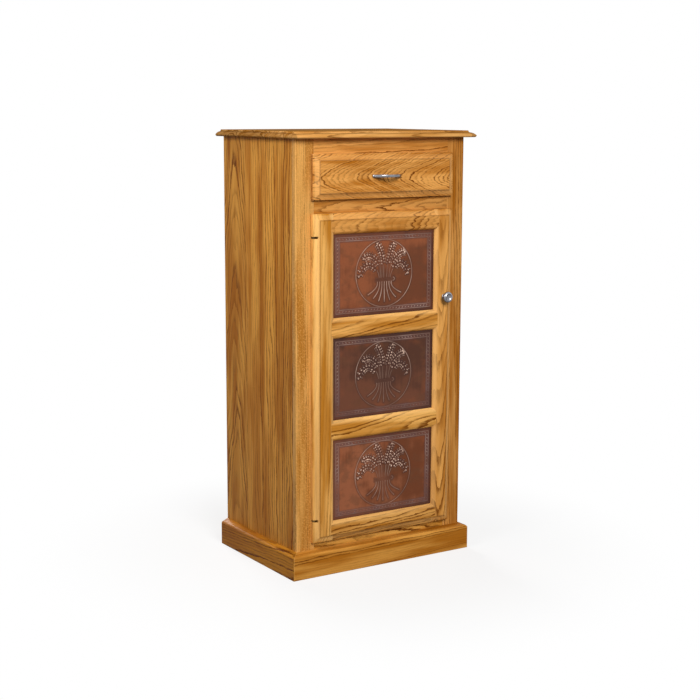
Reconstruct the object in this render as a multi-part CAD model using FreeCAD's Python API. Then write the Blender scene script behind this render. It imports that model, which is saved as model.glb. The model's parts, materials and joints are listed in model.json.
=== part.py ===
import FreeCAD, Part
import math
import os

from FreeCAD import Vector

# Jelly cupboard: an oak face-frame case with one drawer above one door of three punched copper panels.
# Lengths are in millimetres. While modelling, x runs to the right seen from the front, y runs back from
# the front of the face frame and z runs up from the floor. The pieces are centred in y when written.

# How far cutting shapes and the roots of fused ones pass the faces that they meet
REACH = 1.0

# Overall
CASE_WIDTH = 559.0
CASE_DEPTH = 406.0
TOTAL_HEIGHT = 1232.0

# Case boards
SIDE_THICKNESS = 19.0
BACK_THICKNESS = 6.0
BACK_LAP = 9.0
BACK_FLOOR_GAP = 10.0
BOTTOM_THICKNESS = 18.0
DADO_DEPTH = 6.0
FLOOR_HEIGHT = 106.0
CLEAT_SIZE = 19.0
CLEAT_END_GAP = 6.0
TOP_SCREW_BITE = 11.0

# Top board and its moulded edge
TOP_THICKNESS = 19.0
TOP_OVERHANG = 26.0
TOP_NOSE_RADIUS = 5.0
TOP_SHOULDER_INSET = 14.0
TOP_SHOULDER_HEIGHT = 13.5
TOP_FACE_INSET = 17.0
TOP_COVE_SWELL = 1.9
TOP_EASE_SWELL = 1.0

# Base boards
BASE_HEIGHT = 76.0
BASE_THICKNESS = 21.0
BASE_FACE_HEIGHT = 62.0
BASE_SHOULDER_RUN = 8.0
BASE_SHOULDER_RISE = 8.0
BASE_SHOULDER_SWELL = 2.2
BASE_BLOCK_SIZE = 38.0
BASE_BLOCK_HEIGHT = 40.0

# Face frame
FRAME_THICKNESS = 19.0
STILE_WIDTH = 57.0
TOP_RAIL_WIDTH = 51.0
MIDDLE_RAIL_WIDTH = 57.0
BOTTOM_RAIL_WIDTH = 57.0
DRAWER_OPENING_HEIGHT = 103.0
TENON_LENGTH = 12.0
TENON_THICKNESS = 7.0
TENON_SHOULDER = 8.0
CORNER_RADIUS = 2.5

# Door and drawer front, which lap over the face frame
OVERLAY = 10.0
FRONT_GAP = 2.0
FRONT_THICKNESS = 20.0
EDGE_LAND = 9.5
EDGE_BEVEL = 17.0
EDGE_STEP = 2.0
EDGE_HOLLOW = 0.8
DOOR_STILE_WIDTH = 63.5
DOOR_RAIL_WIDTH = 57.0
STICKING_WIDTH = 11.0
STICKING_DEPTH = 8.0
STICKING_SWELL = 1.8
DOOR_TENON_LENGTH = 18.0
DOOR_TENON_THICKNESS = 6.0
DOOR_TENON_SHOULDER = 3.0

# Copper panels
PANEL_LAP = 9.5
PANEL_CLEARANCE = 0.7
PANEL_REBATE_DEPTH = 9.5
PANEL_THICKNESS = 0.7
STOP_WIDTH = 9.0
RELIEF_HEIGHT = 0.9
BORDER_INSET = 14.0
BORDER_WIDTH = 2.4
RING_INSET = 19.5
RING_WIDTH = 2.4
STEM_WIDTH = 2.2
EAR_WIDTH = 13.0
EAR_WAIST = 8.5

# Sheaf of wheat on the copper panels, in shares of the radius of its ring
STEM_FEET = (
    (-0.57, -0.61), (-0.38, -0.73), (-0.19, -0.81), (0.01, -0.84), (0.21, -0.81), (0.41, -0.73), (0.6, -0.6),
)
STEM_NECK = 0.42
STEM_BEND = 1.25
STEM_TOP = -0.25
BAND_HALF = 0.3
BAND_LOW = -0.24
BAND_HIGH = -0.13
BAND_SAG = 0.03
KNOT = ((0.33, -0.27), (0.41, -0.23), (0.4, -0.13), (0.32, -0.15))
EARS = (
    ((-0.04, 0.24), (-0.1, 0.58), (-0.24, 0.88)), ((0.12, 0.24), (0.22, 0.57), (0.33, 0.86)),
    ((-0.16, 0.24), (-0.45, 0.5), (-0.73, 0.45)), ((0.24, 0.26), (0.48, 0.52), (0.73, 0.6)),
    ((-0.25, 0.09), (-0.6, 0.24), (-0.9, -0.06)), ((0.3, 0.11), (0.59, 0.28), (0.86, -0.04)),
)
EAR_NECK = 0.75
EAR_LOBES = 4
RING_SIDES = 28

# Shelves
SHELF_THICKNESS = 18.0
SHELF_FRONT_GAP = 2.0

# Drawer box
DRAWER_BOARD = 12.7
DRAWER_BOTTOM_THICKNESS = 6.0
DRAWER_GROOVE_DEPTH = 6.0
DRAWER_GROOVE_HEIGHT = 10.0
DRAWER_LOW_GAP = 8.0
DRAWER_TOP_GAP = 12.0
DRAWER_REAR_SPACE = 46.0
TAIL_PITCH = 28.0
TAIL_SLOPE = 0.16
TAIL_WEB = 7.0

# Drawer slides
SLIDE_THICKNESS = 12.7
SLIDE_HEIGHT = 45.0
SLIDE_STEEL = 1.2
SLIDE_RACE = 3.0
SLIDE_SETBACK = 4.0
SLIDE_CAGE_LENGTH = 100.0
SLIDE_RUNNING_GAP = 0.3
CASE_FLANGE_GAP = 2.9
MIDDLE_WEB_GAP = 1.2
MIDDLE_FLANGE_GAP = 2.5
DRAWER_FLANGE_GAP = 2.6
OUTER_CAGE_SETOFF = 5.0
OUTER_CAGE_GAP = 3.3
INNER_CAGE_SETOFF = 5.4
INNER_CAGE_GAP = 2.9
BLOCK_HEIGHT = 62.0

# Door hinges
HINGE_END_DISTANCE = 63.5
PIN_RADIUS = 1.5
PIN_INSET = 4.0
PIN_DEPTH = 5.0
PIN_CLEARANCE = 0.05
EYE_RADIUS = 3.5
EYE_PROUD = 1.0
LEAF_THICKNESS = 2.4
LEAF_GAP = 0.4
LEAF_LENGTH = 46.0
LEAF_PLATE = 1.6
LEAF_ARM = 2.5
LEAF_ARM_ROOT = 5.0
LEAF_ARM_DEPTH = 5.0
LEAF_EDGE_GAP = 0.5
LEAF_SCREW_INSET = 8.0
CASE_LEAF_SCREW = 20.0
DOOR_LEAF_SCREW = 13.0
DOOR_LEAF_SCREW_INSET = 7.0
DOOR_LEAF_ARM = 4.0
DOOR_LEAF_SETBACK = 11.0
DOOR_LEAF_WIDTH = 20.0
KERF_CLEARANCE = 0.6

# Handles, catch and pads
PULL_LENGTH = 98.0
PULL_CENTRES = 76.0
PULL_PROJECTION = 27.0
PULL_HEIGHT = 8.0
PULL_THICKNESS = 6.5
PULL_FOOT = 17.0
PULL_SCREW_BITE = 7.0
KNOB_RADIUS = 16.0
KNOB_PROJECTION = 24.0
KNOB_FOOT_RADIUS = 8.5
KNOB_FOOT_HEIGHT = 2.0
KNOB_NECK_RADIUS = 7.0
KNOB_NECK_HEIGHT = 9.0
KNOB_RIM_BACK = 8.5
KNOB_RIM_FRONT = 1.5
KNOB_RIM_SLOPE = 1.5
KNOB_RING_WIDTH = 4.5
KNOB_DISH_DEPTH = 1.6
KNOB_SCREW_BITE = 10.0
KNOB_HEIGHT = 762.0
CATCH_LENGTH = 46.0
CATCH_DEPTH = 16.0
CATCH_HEIGHT = 14.0
CATCH_SIDE_GAP = 30.0
CATCH_SETBACK = 1.5
CATCH_SCREW_END = 5.5
CATCH_SCREW_BITE = 10.0
MAGNET_END = 11.0
MAGNET_RISE = 2.5
MAGNET_HEIGHT = 6.0
MAGNET_DEPTH = 11.0
MAGNET_GAP = 0.3
STRIKE_THICKNESS = 1.2
STRIKE_MARGIN = 3.0
STRIKE_END = 4.0
STRIKE_TOP_GAP = 1.0
PAD_RADIUS = 4.0
PAD_EDGE_GAP = 0.5
DOOR_PAD_INSET = 30.0
DRAWER_PAD_INSET = 20.0

# Fasteners
SCREW_RADIUS = 2.0
SCREW_HEAD_RADIUS = 3.8
SCREW_HEAD_HEIGHT = 1.6
SCREW_CLEARANCE = 0.1
FRONT_SCREW_BITE = 11.0
FRONT_SCREW_LOW = 26.0
FRONT_SCREW_HIGH = 18.0

# Positions worked out from the sizes above
half_case = CASE_WIDTH / 2
inside_half = half_case - SIDE_THICKNESS
case_top = TOTAL_HEIGHT - TOP_THICKNESS
back_front = CASE_DEPTH - BACK_THICKNESS
opening_half = half_case - STILE_WIDTH
drawer_opening_top = case_top - TOP_RAIL_WIDTH
drawer_opening_bottom = drawer_opening_top - DRAWER_OPENING_HEIGHT
door_opening_top = drawer_opening_bottom - MIDDLE_RAIL_WIDTH
door_opening_bottom = FLOOR_HEIGHT
front_half = opening_half + OVERLAY
front_back_y = -FRONT_GAP
front_face_y = -FRONT_GAP - FRONT_THICKNESS
door_bottom = door_opening_bottom - OVERLAY
door_top = door_opening_top + OVERLAY
drawer_front_bottom = drawer_opening_bottom - OVERLAY
drawer_front_top = drawer_opening_top + OVERLAY
rebate_y = front_back_y - PANEL_REBATE_DEPTH
sight_half = front_half - DOOR_STILE_WIDTH
sight_height = (door_top - door_bottom - 4 * DOOR_RAIL_WIDTH) / 3
box_half = opening_half - SLIDE_THICKNESS
box_bottom = drawer_opening_bottom + DRAWER_LOW_GAP
box_top = drawer_opening_top - DRAWER_TOP_GAP
box_front = front_back_y
box_back = back_front - DRAWER_REAR_SPACE
slide_z = (box_bottom + box_top) / 2
slide_front = SLIDE_SETBACK
slide_back = box_back
slide_length = slide_back - slide_front
pin_x = -front_half + PIN_INSET
pin_y = front_back_y - PIN_DEPTH
hinge_heights = {"upper": door_top - HINGE_END_DISTANCE, "lower": door_bottom + HINGE_END_DISTANCE}
pull_z = (drawer_front_bottom + drawer_front_top) / 2
knob_x = front_half - DOOR_STILE_WIDTH / 2
front_reach = FRONT_GAP + FRONT_THICKNESS + max(KNOB_PROJECTION, PULL_PROJECTION)
shift_y = (front_reach - CASE_DEPTH) / 2
shelf_space = (door_opening_top - FLOOR_HEIGHT) / 4
shelf_undersides = {
    "lower": FLOOR_HEIGHT + shelf_space - SHELF_THICKNESS,
    "middle": FLOOR_HEIGHT + 2 * shelf_space - SHELF_THICKNESS,
    "upper": FLOOR_HEIGHT + 3 * shelf_space - SHELF_THICKNESS,
}

AXES = {"xy": Vector(0, 0, 1), "yz": Vector(1, 0, 0), "xz": Vector(0, 1, 0)}
nodes = {}


def box(x0, x1, y0, y1, z0, z1):
    return Part.makeBox(x1 - x0, y1 - y0, z1 - z0, Vector(x0, y0, z0))


def cylinder(radius, start, direction, length):
    return Part.makeCylinder(radius, length, Vector(*start), Vector(*direction))


def point(plane, a, b):
    if plane == "xy":
        return Vector(a, b, 0)
    if plane == "yz":
        return Vector(0, a, b)
    return Vector(a, 0, b)


def is_arc(step):
    return isinstance(step[0], tuple)


def face(plane, path):
    """Face inside a closed path; a step made of two points is an arc through the first of them."""
    edges = []
    here = point(plane, *path[0])
    for step in path[1:]:
        if is_arc(step):
            end = point(plane, *step[1])
            edges.append(Part.Arc(here, point(plane, *step[0]), end).toShape())
        else:
            end = point(plane, *step)
            edges.append(Part.makeLine(here, end))
        here = end
    edges.append(Part.makeLine(here, point(plane, *path[0])))
    return Part.Face(Part.Wire(edges))


def prism(plane, path, low, high):
    sheet = face(plane, path)
    sheet.translate(AXES[plane] * low)
    return sheet.extrude(AXES[plane] * (high - low))


def turned(path):
    """The same path with its two coordinates changed over."""
    return [(step[0][::-1], step[1][::-1]) if is_arc(step) else step[::-1] for step in path]


def backwards(path):
    ends = [step[1] if is_arc(step) else step for step in path]
    steps = [ends[-1]]
    for number in range(len(path) - 1, 0, -1):
        if is_arc(path[number]):
            steps.append((path[number][0], ends[number - 1]))
        else:
            steps.append(ends[number - 1])
    return steps


def bulge(start, end, height):
    """Middle point of an arc that rises by height to the left of the line from start to end."""
    run = (end[0] - start[0], end[1] - start[1])
    length = math.hypot(*run)
    middle = ((start[0] + end[0]) / 2, (start[1] + end[1]) / 2)
    return (middle[0] - run[1] / length * height, middle[1] + run[0] / length * height)


def mirrored(shape):
    return shape.mirror(Vector(0, 0, 0), Vector(1, 0, 0))


def both_sides(shape):
    return [shape, mirrored(shape)]


def eight_sided(radius, start, direction, length):
    """Bar with eight flat sides, for fasteners and their holes."""
    way = Vector(*direction)
    across = Vector(0, 0, 1) if abs(way.z) < 0.5 else Vector(1, 0, 0)
    beside = way.cross(across)
    corners = []
    for number in range(8):
        angle = math.pi / 4 * (number + 0.5)
        spoke = across * math.cos(angle) + beside * math.sin(angle)
        corners.append(Vector(*start) + spoke * radius)
    return Part.Face(Part.makePolygon(corners + corners[:1])).extrude(way * length)


def screw(head_at, direction, length):
    """Screw with a flat head; head_at is the middle of the seat of its head."""
    seat = Vector(*head_at)
    start = seat - Vector(*direction) * SCREW_HEAD_HEIGHT
    head = eight_sided(SCREW_HEAD_RADIUS, tuple(start), direction, SCREW_HEAD_HEIGHT)
    return head.fuse(eight_sided(SCREW_RADIUS, head_at, direction, length))


def screw_hole(head_at, direction, length):
    return eight_sided(SCREW_RADIUS + SCREW_CLEARANCE, head_at, direction, length + SCREW_CLEARANCE)


def add(name, shape):
    """Keeps one node; a list becomes a group of separate solids."""
    pieces = shape if isinstance(shape, list) else [shape]
    solids = []
    for piece in pieces:
        solids.extend(piece.Solids)
    nodes[name] = solids


def lip(at, inward):
    """Outer edge of a door or drawer front, from the back to the face: a land, a hollow bevel and a step."""
    outer = (at, front_back_y - EDGE_LAND)
    inner = (at + inward * EDGE_BEVEL, front_face_y + EDGE_STEP)
    hollow = bulge(outer, inner, inward * EDGE_HOLLOW)
    return [(at, front_back_y), outer, (hollow, inner), (inner[0], front_face_y)]


def sticking(at, inward):
    """Edge beside a copper panel, from the back to the face: a rebate, a thin lip and a swelled slope."""
    lapped = at + inward * PANEL_LAP
    low = (at, front_face_y + STICKING_DEPTH)
    high = (at + inward * STICKING_WIDTH, front_face_y)
    swell = bulge(low, high, -inward * STICKING_SWELL)
    return [(lapped, front_back_y), (lapped, rebate_y), (at, rebate_y), low, (swell, high)]


def section(low, high, low_edge, high_edge):
    return low_edge(low, 1) + backwards(high_edge(high, -1))


def frame_tenon(low, high, side):
    """Tenon of a face-frame rail, reaching from the rail into the stile."""
    middle = FRAME_THICKNESS / 2
    inner = side * (opening_half - REACH)
    outer = side * (opening_half + TENON_LENGTH)
    return box(
        min(inner, outer), max(inner, outer),
        middle - TENON_THICKNESS / 2, middle + TENON_THICKNESS / 2,
        low + TENON_SHOULDER, high - TENON_SHOULDER,
    )


def slide_path(near, far, half, flange_to):
    """Channel of a slide with its web from near to far and its two flanges reaching to flange_to."""
    steel = SLIDE_STEEL
    path = [(near, -half), (flange_to, -half), (flange_to, steel - half), (far, steel - half)]
    path += [(far, half - steel), (flange_to, half - steel), (flange_to, half), (near, half)]
    return path


def slide_channel(near, far, half, flange_to):
    """Left-hand slide channel; the distances run from the block face towards the drawer."""
    path = [(a - opening_half, b + slide_z) for a, b in slide_path(near, far, half, flange_to)]
    return prism("xz", path, slide_front, slide_back)


def ball_cages(half, near, far):
    """Left-hand pair of ball cages, as plain bars in the race centred at the given half height."""
    start = slide_front + slide_length * 0.26
    thick = SLIDE_RACE - 2 * SLIDE_RUNNING_GAP
    cages = []
    for side in (-1, 1):
        z = slide_z + side * half
        cages.append(
            box(
                near - opening_half, far - opening_half, start, start + SLIDE_CAGE_LENGTH,
                z - thick / 2, z + thick / 2,
            )
        )
    return cages


# Case sides, with grooves for the bottom and the shelves and a rebate for the back
side = box(-half_case, -inside_half, FRAME_THICKNESS, CASE_DEPTH, 0, case_top)
side = side.cut(box(-inside_half - BACK_LAP, -inside_half, back_front, CASE_DEPTH, 0, case_top))
bottom_board = box(
    -inside_half - DADO_DEPTH, inside_half + DADO_DEPTH, FRAME_THICKNESS, back_front,
    FLOOR_HEIGHT - BOTTOM_THICKNESS, FLOOR_HEIGHT,
)
side = side.cut(bottom_board)
for which, underside in shelf_undersides.items():
    shelf = box(
        -inside_half - DADO_DEPTH, inside_half + DADO_DEPTH, FRAME_THICKNESS + SHELF_FRONT_GAP, back_front,
        underside, underside + SHELF_THICKNESS,
    )
    side = side.cut(shelf)
    add("shelf_" + which, shelf)
add("bottom_board", bottom_board)

# Face frame
stile_path = [
    (-opening_half, 0), (-opening_half, FRAME_THICKNESS), (-half_case, FRAME_THICKNESS),
    (-half_case, CORNER_RADIUS),
    (
        (-half_case + CORNER_RADIUS * (1 - math.sqrt(0.5)), CORNER_RADIUS * (1 - math.sqrt(0.5))),
        (-half_case + CORNER_RADIUS, 0),
    ),
]
frame_stile = prism("xy", stile_path, 0, case_top)
rail_spans = {
    "frame_top_rail": (drawer_opening_top, case_top),
    "frame_middle_rail": (door_opening_top, drawer_opening_bottom),
    "frame_bottom_rail": (FLOOR_HEIGHT - BOTTOM_RAIL_WIDTH, FLOOR_HEIGHT),
}
rails = {}
for name, (low, high) in rail_spans.items():
    blank = box(-opening_half, opening_half, 0, FRAME_THICKNESS, low, high)
    rails[name] = blank.fuse([frame_tenon(low, high, -1), frame_tenon(low, high, 1)]).removeSplitter()
    frame_stile = frame_stile.cut(frame_tenon(low, high, -1))
left_stile = frame_stile
right_stile = mirrored(frame_stile)

# Hinges: each has a case leaf on the edge of the stile and a door leaf on the back of the door,
# and their flat arms meet on a pin inside a kerf that is sawn into the edge of the door
kerf_half = LEAF_THICKNESS + LEAF_GAP / 2 + KERF_CLEARANCE
plate_x = -opening_half
arm_inner_x = plate_x + LEAF_ARM
kerf_reach = math.hypot(arm_inner_x - pin_x, EYE_RADIUS - EYE_PROUD) + KERF_CLEARANCE
door_plate_x = -front_half + PIN_INSET + DOOR_LEAF_SETBACK
hinge_screw_rise = LEAF_LENGTH / 2 - LEAF_SCREW_INSET
case_leaf_screws = []
door_leaf_screws = []
pins = []
kerfs = []
door_screw_holes = []
left_stile_holes = []
for which, z in hinge_heights.items():
    low = z - LEAF_GAP / 2 - LEAF_THICKNESS
    high = z + LEAF_GAP / 2
    plate_low = z - LEAF_LENGTH / 2
    plate_high = z + LEAF_LENGTH / 2
    bore = cylinder(PIN_RADIUS + PIN_CLEARANCE, (pin_x, pin_y, plate_low), (0, 0, 1), LEAF_LENGTH)
    arm_front = pin_y - EYE_RADIUS + EYE_PROUD
    arm_back = arm_front + LEAF_ARM_DEPTH
    case_leaf = box(
        plate_x, plate_x + LEAF_PLATE, LEAF_EDGE_GAP, FRAME_THICKNESS - LEAF_EDGE_GAP, plate_low, plate_high,
    )
    case_leaf = case_leaf.fuse(
        [
            box(plate_x, arm_inner_x, arm_front, LEAF_ARM_ROOT, low, low + LEAF_THICKNESS),
            box(pin_x, arm_inner_x, arm_front, arm_back, low, low + LEAF_THICKNESS),
            cylinder(EYE_RADIUS, (pin_x, pin_y, low), (0, 0, 1), LEAF_THICKNESS),
        ]
    )
    case_leaf = case_leaf.cut(bore)
    door_plate_far = door_plate_x + DOOR_LEAF_WIDTH
    plate_y = front_back_y
    door_leaf = box(door_plate_x, door_plate_far, plate_y, plate_y + LEAF_PLATE, plate_low, plate_high)
    door_arm_far = door_plate_x + DOOR_LEAF_ARM
    door_leaf = door_leaf.fuse(
        [
            box(pin_x, door_arm_far, arm_front, arm_back, high, high + LEAF_THICKNESS),
            box(door_plate_x, door_arm_far, arm_front, plate_y + LEAF_PLATE, high, high + LEAF_THICKNESS),
            cylinder(EYE_RADIUS, (pin_x, pin_y, high), (0, 0, 1), LEAF_THICKNESS),
        ]
    )
    door_leaf = door_leaf.cut(bore)
    pins.append(cylinder(PIN_RADIUS, (pin_x, pin_y, low), (0, 0, 1), 2 * LEAF_THICKNESS + LEAF_GAP))
    kerfs.append(
        box(
            -front_half - REACH, pin_x + kerf_reach, front_face_y - REACH, front_back_y + REACH,
            z - kerf_half, z + kerf_half,
        )
    )
    kerfs.append(
        box(
            pin_x, door_arm_far + KERF_CLEARANCE, arm_front - KERF_CLEARANCE, front_back_y + REACH,
            high - LEAF_GAP / 2, z + kerf_half,
        )
    )
    for rise in (-hinge_screw_rise, hinge_screw_rise):
        seat = (plate_x + LEAF_PLATE, FRAME_THICKNESS / 2, z + rise)
        case_leaf_screws.append(screw(seat, (-1, 0, 0), CASE_LEAF_SCREW))
        hole = screw_hole(seat, (-1, 0, 0), CASE_LEAF_SCREW)
        case_leaf = case_leaf.cut(hole)
        left_stile_holes.append(hole)
        seat = (door_plate_far - DOOR_LEAF_SCREW_INSET, plate_y + LEAF_PLATE, z + rise)
        door_leaf_screws.append(screw(seat, (0, -1, 0), DOOR_LEAF_SCREW))
        hole = screw_hole(seat, (0, -1, 0), DOOR_LEAF_SCREW)
        door_leaf = door_leaf.cut(hole)
        door_screw_holes.append(hole)
    add("hinge_case_leaf_" + which, case_leaf.removeSplitter())
    add("hinge_door_leaf_" + which, door_leaf.removeSplitter())
add("hinge_pins", pins)
left_stile = left_stile.cut(left_stile_holes)

# Door frame: the rails are coped over the moulding of the stiles and tenoned into them
stile_section = section(-front_half, -sight_half, lip, sticking)
stile_blank = prism("xy", stile_section, door_bottom, door_top)
door_height_form = prism("yz", turned(section(door_bottom, door_top, lip, lip)), -front_half, -sight_half)
door_stile = stile_blank.common(door_height_form)
rail_step = DOOR_RAIL_WIDTH + sight_height
door_rail_lows = {
    "door_bottom_rail": door_bottom,
    "door_lower_rail": door_bottom + rail_step,
    "door_upper_rail": door_bottom + 2 * rail_step,
    "door_top_rail": door_bottom + 3 * rail_step,
}
joint_half = sight_half + STICKING_WIDTH
tenon_y = (front_back_y + rebate_y) / 2
door_rails = {}
for name, low in door_rail_lows.items():
    high = low + DOOR_RAIL_WIDTH
    low_edge = lip if name == "door_bottom_rail" else sticking
    high_edge = lip if name == "door_top_rail" else sticking
    rail = prism("yz", turned(section(low, high, low_edge, high_edge)), -joint_half, joint_half)
    rail = rail.cut([stile_blank, mirrored(stile_blank)])
    tenon = box(
        -sight_half - PANEL_LAP - DOOR_TENON_LENGTH, -sight_half - PANEL_LAP + REACH,
        tenon_y - DOOR_TENON_THICKNESS / 2, tenon_y + DOOR_TENON_THICKNESS / 2,
        low + PANEL_LAP + DOOR_TENON_SHOULDER, high - PANEL_LAP - DOOR_TENON_SHOULDER,
    )
    door_rails[name] = rail.fuse(both_sides(tenon)).removeSplitter()
    door_stile = door_stile.cut(tenon)
door_left_stile = door_stile.cut(kerfs + door_screw_holes)
door_right_stile = mirrored(door_stile)

# Copper panels: a sheet with a raised border, a ring and a sheaf of wheat worked up from the back
panel_half = sight_half + PANEL_LAP - PANEL_CLEARANCE
panel_front_y = rebate_y
panel_back_y = rebate_y + PANEL_THICKNESS
ring_radius = sight_height / 2 - RING_INSET


def on_ring(a, b):
    """Point of the sheaf, in millimetres about the middle of the panel."""
    return (a * ring_radius, b * ring_radius)


def bar_path(start, middle, end, width):
    """Outline of a bent bar of even width through three points."""
    def beside(at, toward, distance):
        run = (toward[0] - at[0], toward[1] - at[1])
        length = math.hypot(*run)
        return (at[0] - run[1] / length * distance, at[1] + run[0] / length * distance)

    def beyond(at, other):
        return (2 * at[0] - other[0], 2 * at[1] - other[1])

    half = width / 2
    near = [beside(start, middle, half), beside(middle, end, half), beside(end, beyond(end, middle), half)]
    far = [beside(start, middle, -half), beside(middle, end, -half), beside(end, beyond(end, middle), -half)]
    return near + far[::-1]


def ear_point(curve, share):
    a, b, c = curve
    control = tuple(2 * b[n] - (a[n] + c[n]) / 2 for n in (0, 1))
    one = 1 - share
    place = tuple(one * one * a[n] + 2 * one * share * control[n] + share * share * c[n] for n in (0, 1))
    run = tuple(2 * one * (control[n] - a[n]) + 2 * share * (c[n] - control[n]) for n in (0, 1))
    return place, math.atan2(run[1], run[0])


def ear_path(curve):
    """Outline of one ear of wheat: lobes of grain on both sides of its curve, ending in a point."""
    left = []
    right = []
    for number in range(2 * EAR_LOBES):
        (px, pz), angle = ear_point(curve, number / (2 * EAR_LOBES))
        reach = (EAR_WIDTH if number % 2 else EAR_WAIST) / 2
        left.append((px - math.sin(angle) * reach, pz + math.cos(angle) * reach))
        right.append((px + math.sin(angle) * reach, pz - math.cos(angle) * reach))
    return left + [curve[2]] + right[::-1]


def ring_path(radius):
    step = 2 * math.pi / RING_SIDES
    return [(radius * math.cos(step * n), radius * math.sin(step * n)) for n in range(RING_SIDES)]


def copper_panel(low):
    """Panel whose sight opening starts at the given height."""
    middle_z = low + sight_height / 2
    lap = PANEL_LAP - PANEL_CLEARANCE
    sheet = box(-panel_half, panel_half, panel_front_y, panel_back_y, low - lap, low + sight_height + lap)
    root_y = panel_front_y + PANEL_THICKNESS * 0.4
    top_y = panel_front_y - RELIEF_HEIGHT
    x = sight_half - BORDER_INSET
    z0 = low + BORDER_INSET
    z1 = low + sight_height - BORDER_INSET
    border = box(-x, x, top_y, root_y, z0, z1).cut(
        box(
            -x + BORDER_WIDTH, x - BORDER_WIDTH, top_y - REACH, root_y + REACH,
            z0 + BORDER_WIDTH, z1 - BORDER_WIDTH,
        )
    )

    def raised(path):
        """Extruded path, given about the middle of the panel."""
        placed = []
        for step in path:
            points = step if is_arc(step) else (step,)
            points = tuple((a, b + middle_z) for a, b in points)
            placed.append(points if is_arc(step) else points[0])
        return prism("xz", placed, top_y, root_y)

    relief = [border, raised(ring_path(ring_radius)).cut(raised(ring_path(ring_radius - RING_WIDTH)))]
    for foot, drop in STEM_FEET:
        neck = foot * STEM_NECK
        bend = on_ring(neck * STEM_BEND, (STEM_TOP + drop) / 2)
        relief.append(raised(bar_path(on_ring(neck, STEM_TOP), bend, on_ring(foot, drop), STEM_WIDTH)))
    band = [
        on_ring(-BAND_HALF, BAND_LOW), (on_ring(0, BAND_LOW - BAND_SAG), on_ring(BAND_HALF, BAND_LOW)),
        on_ring(BAND_HALF, BAND_HIGH), (on_ring(0, BAND_HIGH - BAND_SAG), on_ring(-BAND_HALF, BAND_HIGH)),
    ]
    relief.append(raised(band))
    relief.append(raised([on_ring(*corner) for corner in KNOT]))
    for start, middle, end in EARS:
        foot = (start[0] * EAR_NECK, BAND_HIGH)
        neck = ((start[0] + foot[0]) / 2 + BAND_SAG / 4, (start[1] + foot[1]) / 2)
        stalk = bar_path(on_ring(*foot), on_ring(*neck), on_ring(*start), STEM_WIDTH)
        relief.append(raised(stalk))
        relief.append(raised(ear_path((on_ring(*start), on_ring(*middle), on_ring(*end)))))
    return sheet.fuse(relief).removeSplitter()


panel_lows = {
    "bottom": door_bottom + DOOR_RAIL_WIDTH,
    "middle": door_bottom + DOOR_RAIL_WIDTH + rail_step,
    "top": door_bottom + DOOR_RAIL_WIDTH + 2 * rail_step,
}
panel_stops = []
for which, low in panel_lows.items():
    add("copper_panel_" + which, copper_panel(low))
    z0 = low - PANEL_LAP
    z1 = low + sight_height + PANEL_LAP
    outer = sight_half + PANEL_LAP
    upright = box(-outer, -outer + STOP_WIDTH, panel_back_y, front_back_y, z0, z1)
    inner = outer - STOP_WIDTH
    lower = box(-inner, inner, panel_back_y, front_back_y, z0, z0 + STOP_WIDTH)
    upper = box(-inner, inner, panel_back_y, front_back_y, z1 - STOP_WIDTH, z1)
    panel_stops += both_sides(upright) + [lower, upper]
add("panel_stops", panel_stops)

# Knob and its screw
rim_back = KNOB_PROJECTION - KNOB_RIM_BACK
rim_front = KNOB_PROJECTION - KNOB_RIM_FRONT
dish_radius = KNOB_RADIUS - KNOB_RING_WIDTH
dish_height = KNOB_PROJECTION - KNOB_DISH_DEPTH
knob_path = [
    (0, 0), (KNOB_FOOT_RADIUS, 0), (KNOB_FOOT_RADIUS, KNOB_FOOT_HEIGHT), (KNOB_NECK_RADIUS, KNOB_FOOT_HEIGHT),
    (KNOB_NECK_RADIUS, KNOB_NECK_HEIGHT), (KNOB_RADIUS, rim_back), (KNOB_RADIUS, rim_front),
    (KNOB_RADIUS - KNOB_RIM_SLOPE, KNOB_PROJECTION), (dish_radius, KNOB_PROJECTION),
    (dish_radius, dish_height), (0, dish_height),
]
knob = face("xy", [(a, -b) for a, b in knob_path]).revolve(Vector(0, 0, 0), Vector(0, 1, 0), 360)
knob.translate(Vector(knob_x, front_face_y, KNOB_HEIGHT))
knob_screw_length = FRONT_THICKNESS + KNOB_SCREW_BITE
knob_seat = (knob_x, front_back_y, KNOB_HEIGHT)
knob_hole = screw_hole(knob_seat, (0, -1, 0), knob_screw_length)
add("door_knob", knob.cut(knob_hole))
add("door_screws", door_leaf_screws + [screw(knob_seat, (0, -1, 0), knob_screw_length)])
door_right_stile = door_right_stile.cut(knob_hole)

# Magnetic catch under the middle rail and its strike on the door
catch_x1 = opening_half - CATCH_SIDE_GAP
catch_x0 = catch_x1 - CATCH_LENGTH
catch_y0 = CATCH_SETBACK
catch_z0 = door_opening_top - CATCH_HEIGHT
catch = box(catch_x0, catch_x1, catch_y0, catch_y0 + CATCH_DEPTH, catch_z0, door_opening_top)
magnet_x0 = catch_x0 + MAGNET_END
magnet_x1 = catch_x1 - MAGNET_END
magnet_z0 = catch_z0 + MAGNET_RISE
magnet_z1 = magnet_z0 + MAGNET_HEIGHT
magnet_y0 = front_back_y + STRIKE_THICKNESS + MAGNET_GAP
magnet_y1 = catch_y0 + MAGNET_DEPTH
catch = catch.cut(box(magnet_x0, magnet_x1, catch_y0 - REACH, magnet_y1, magnet_z0, magnet_z1))
catch_screw_length = CATCH_HEIGHT + CATCH_SCREW_BITE
catch_screws = []
for x in (catch_x0 + CATCH_SCREW_END, catch_x1 - CATCH_SCREW_END):
    seat = (x, catch_y0 + CATCH_DEPTH / 2, catch_z0)
    catch_screws.append(screw(seat, (0, 0, 1), catch_screw_length))
    hole = screw_hole(seat, (0, 0, 1), catch_screw_length)
    catch = catch.cut(hole)
    rails["frame_middle_rail"] = rails["frame_middle_rail"].cut(hole)
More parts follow.
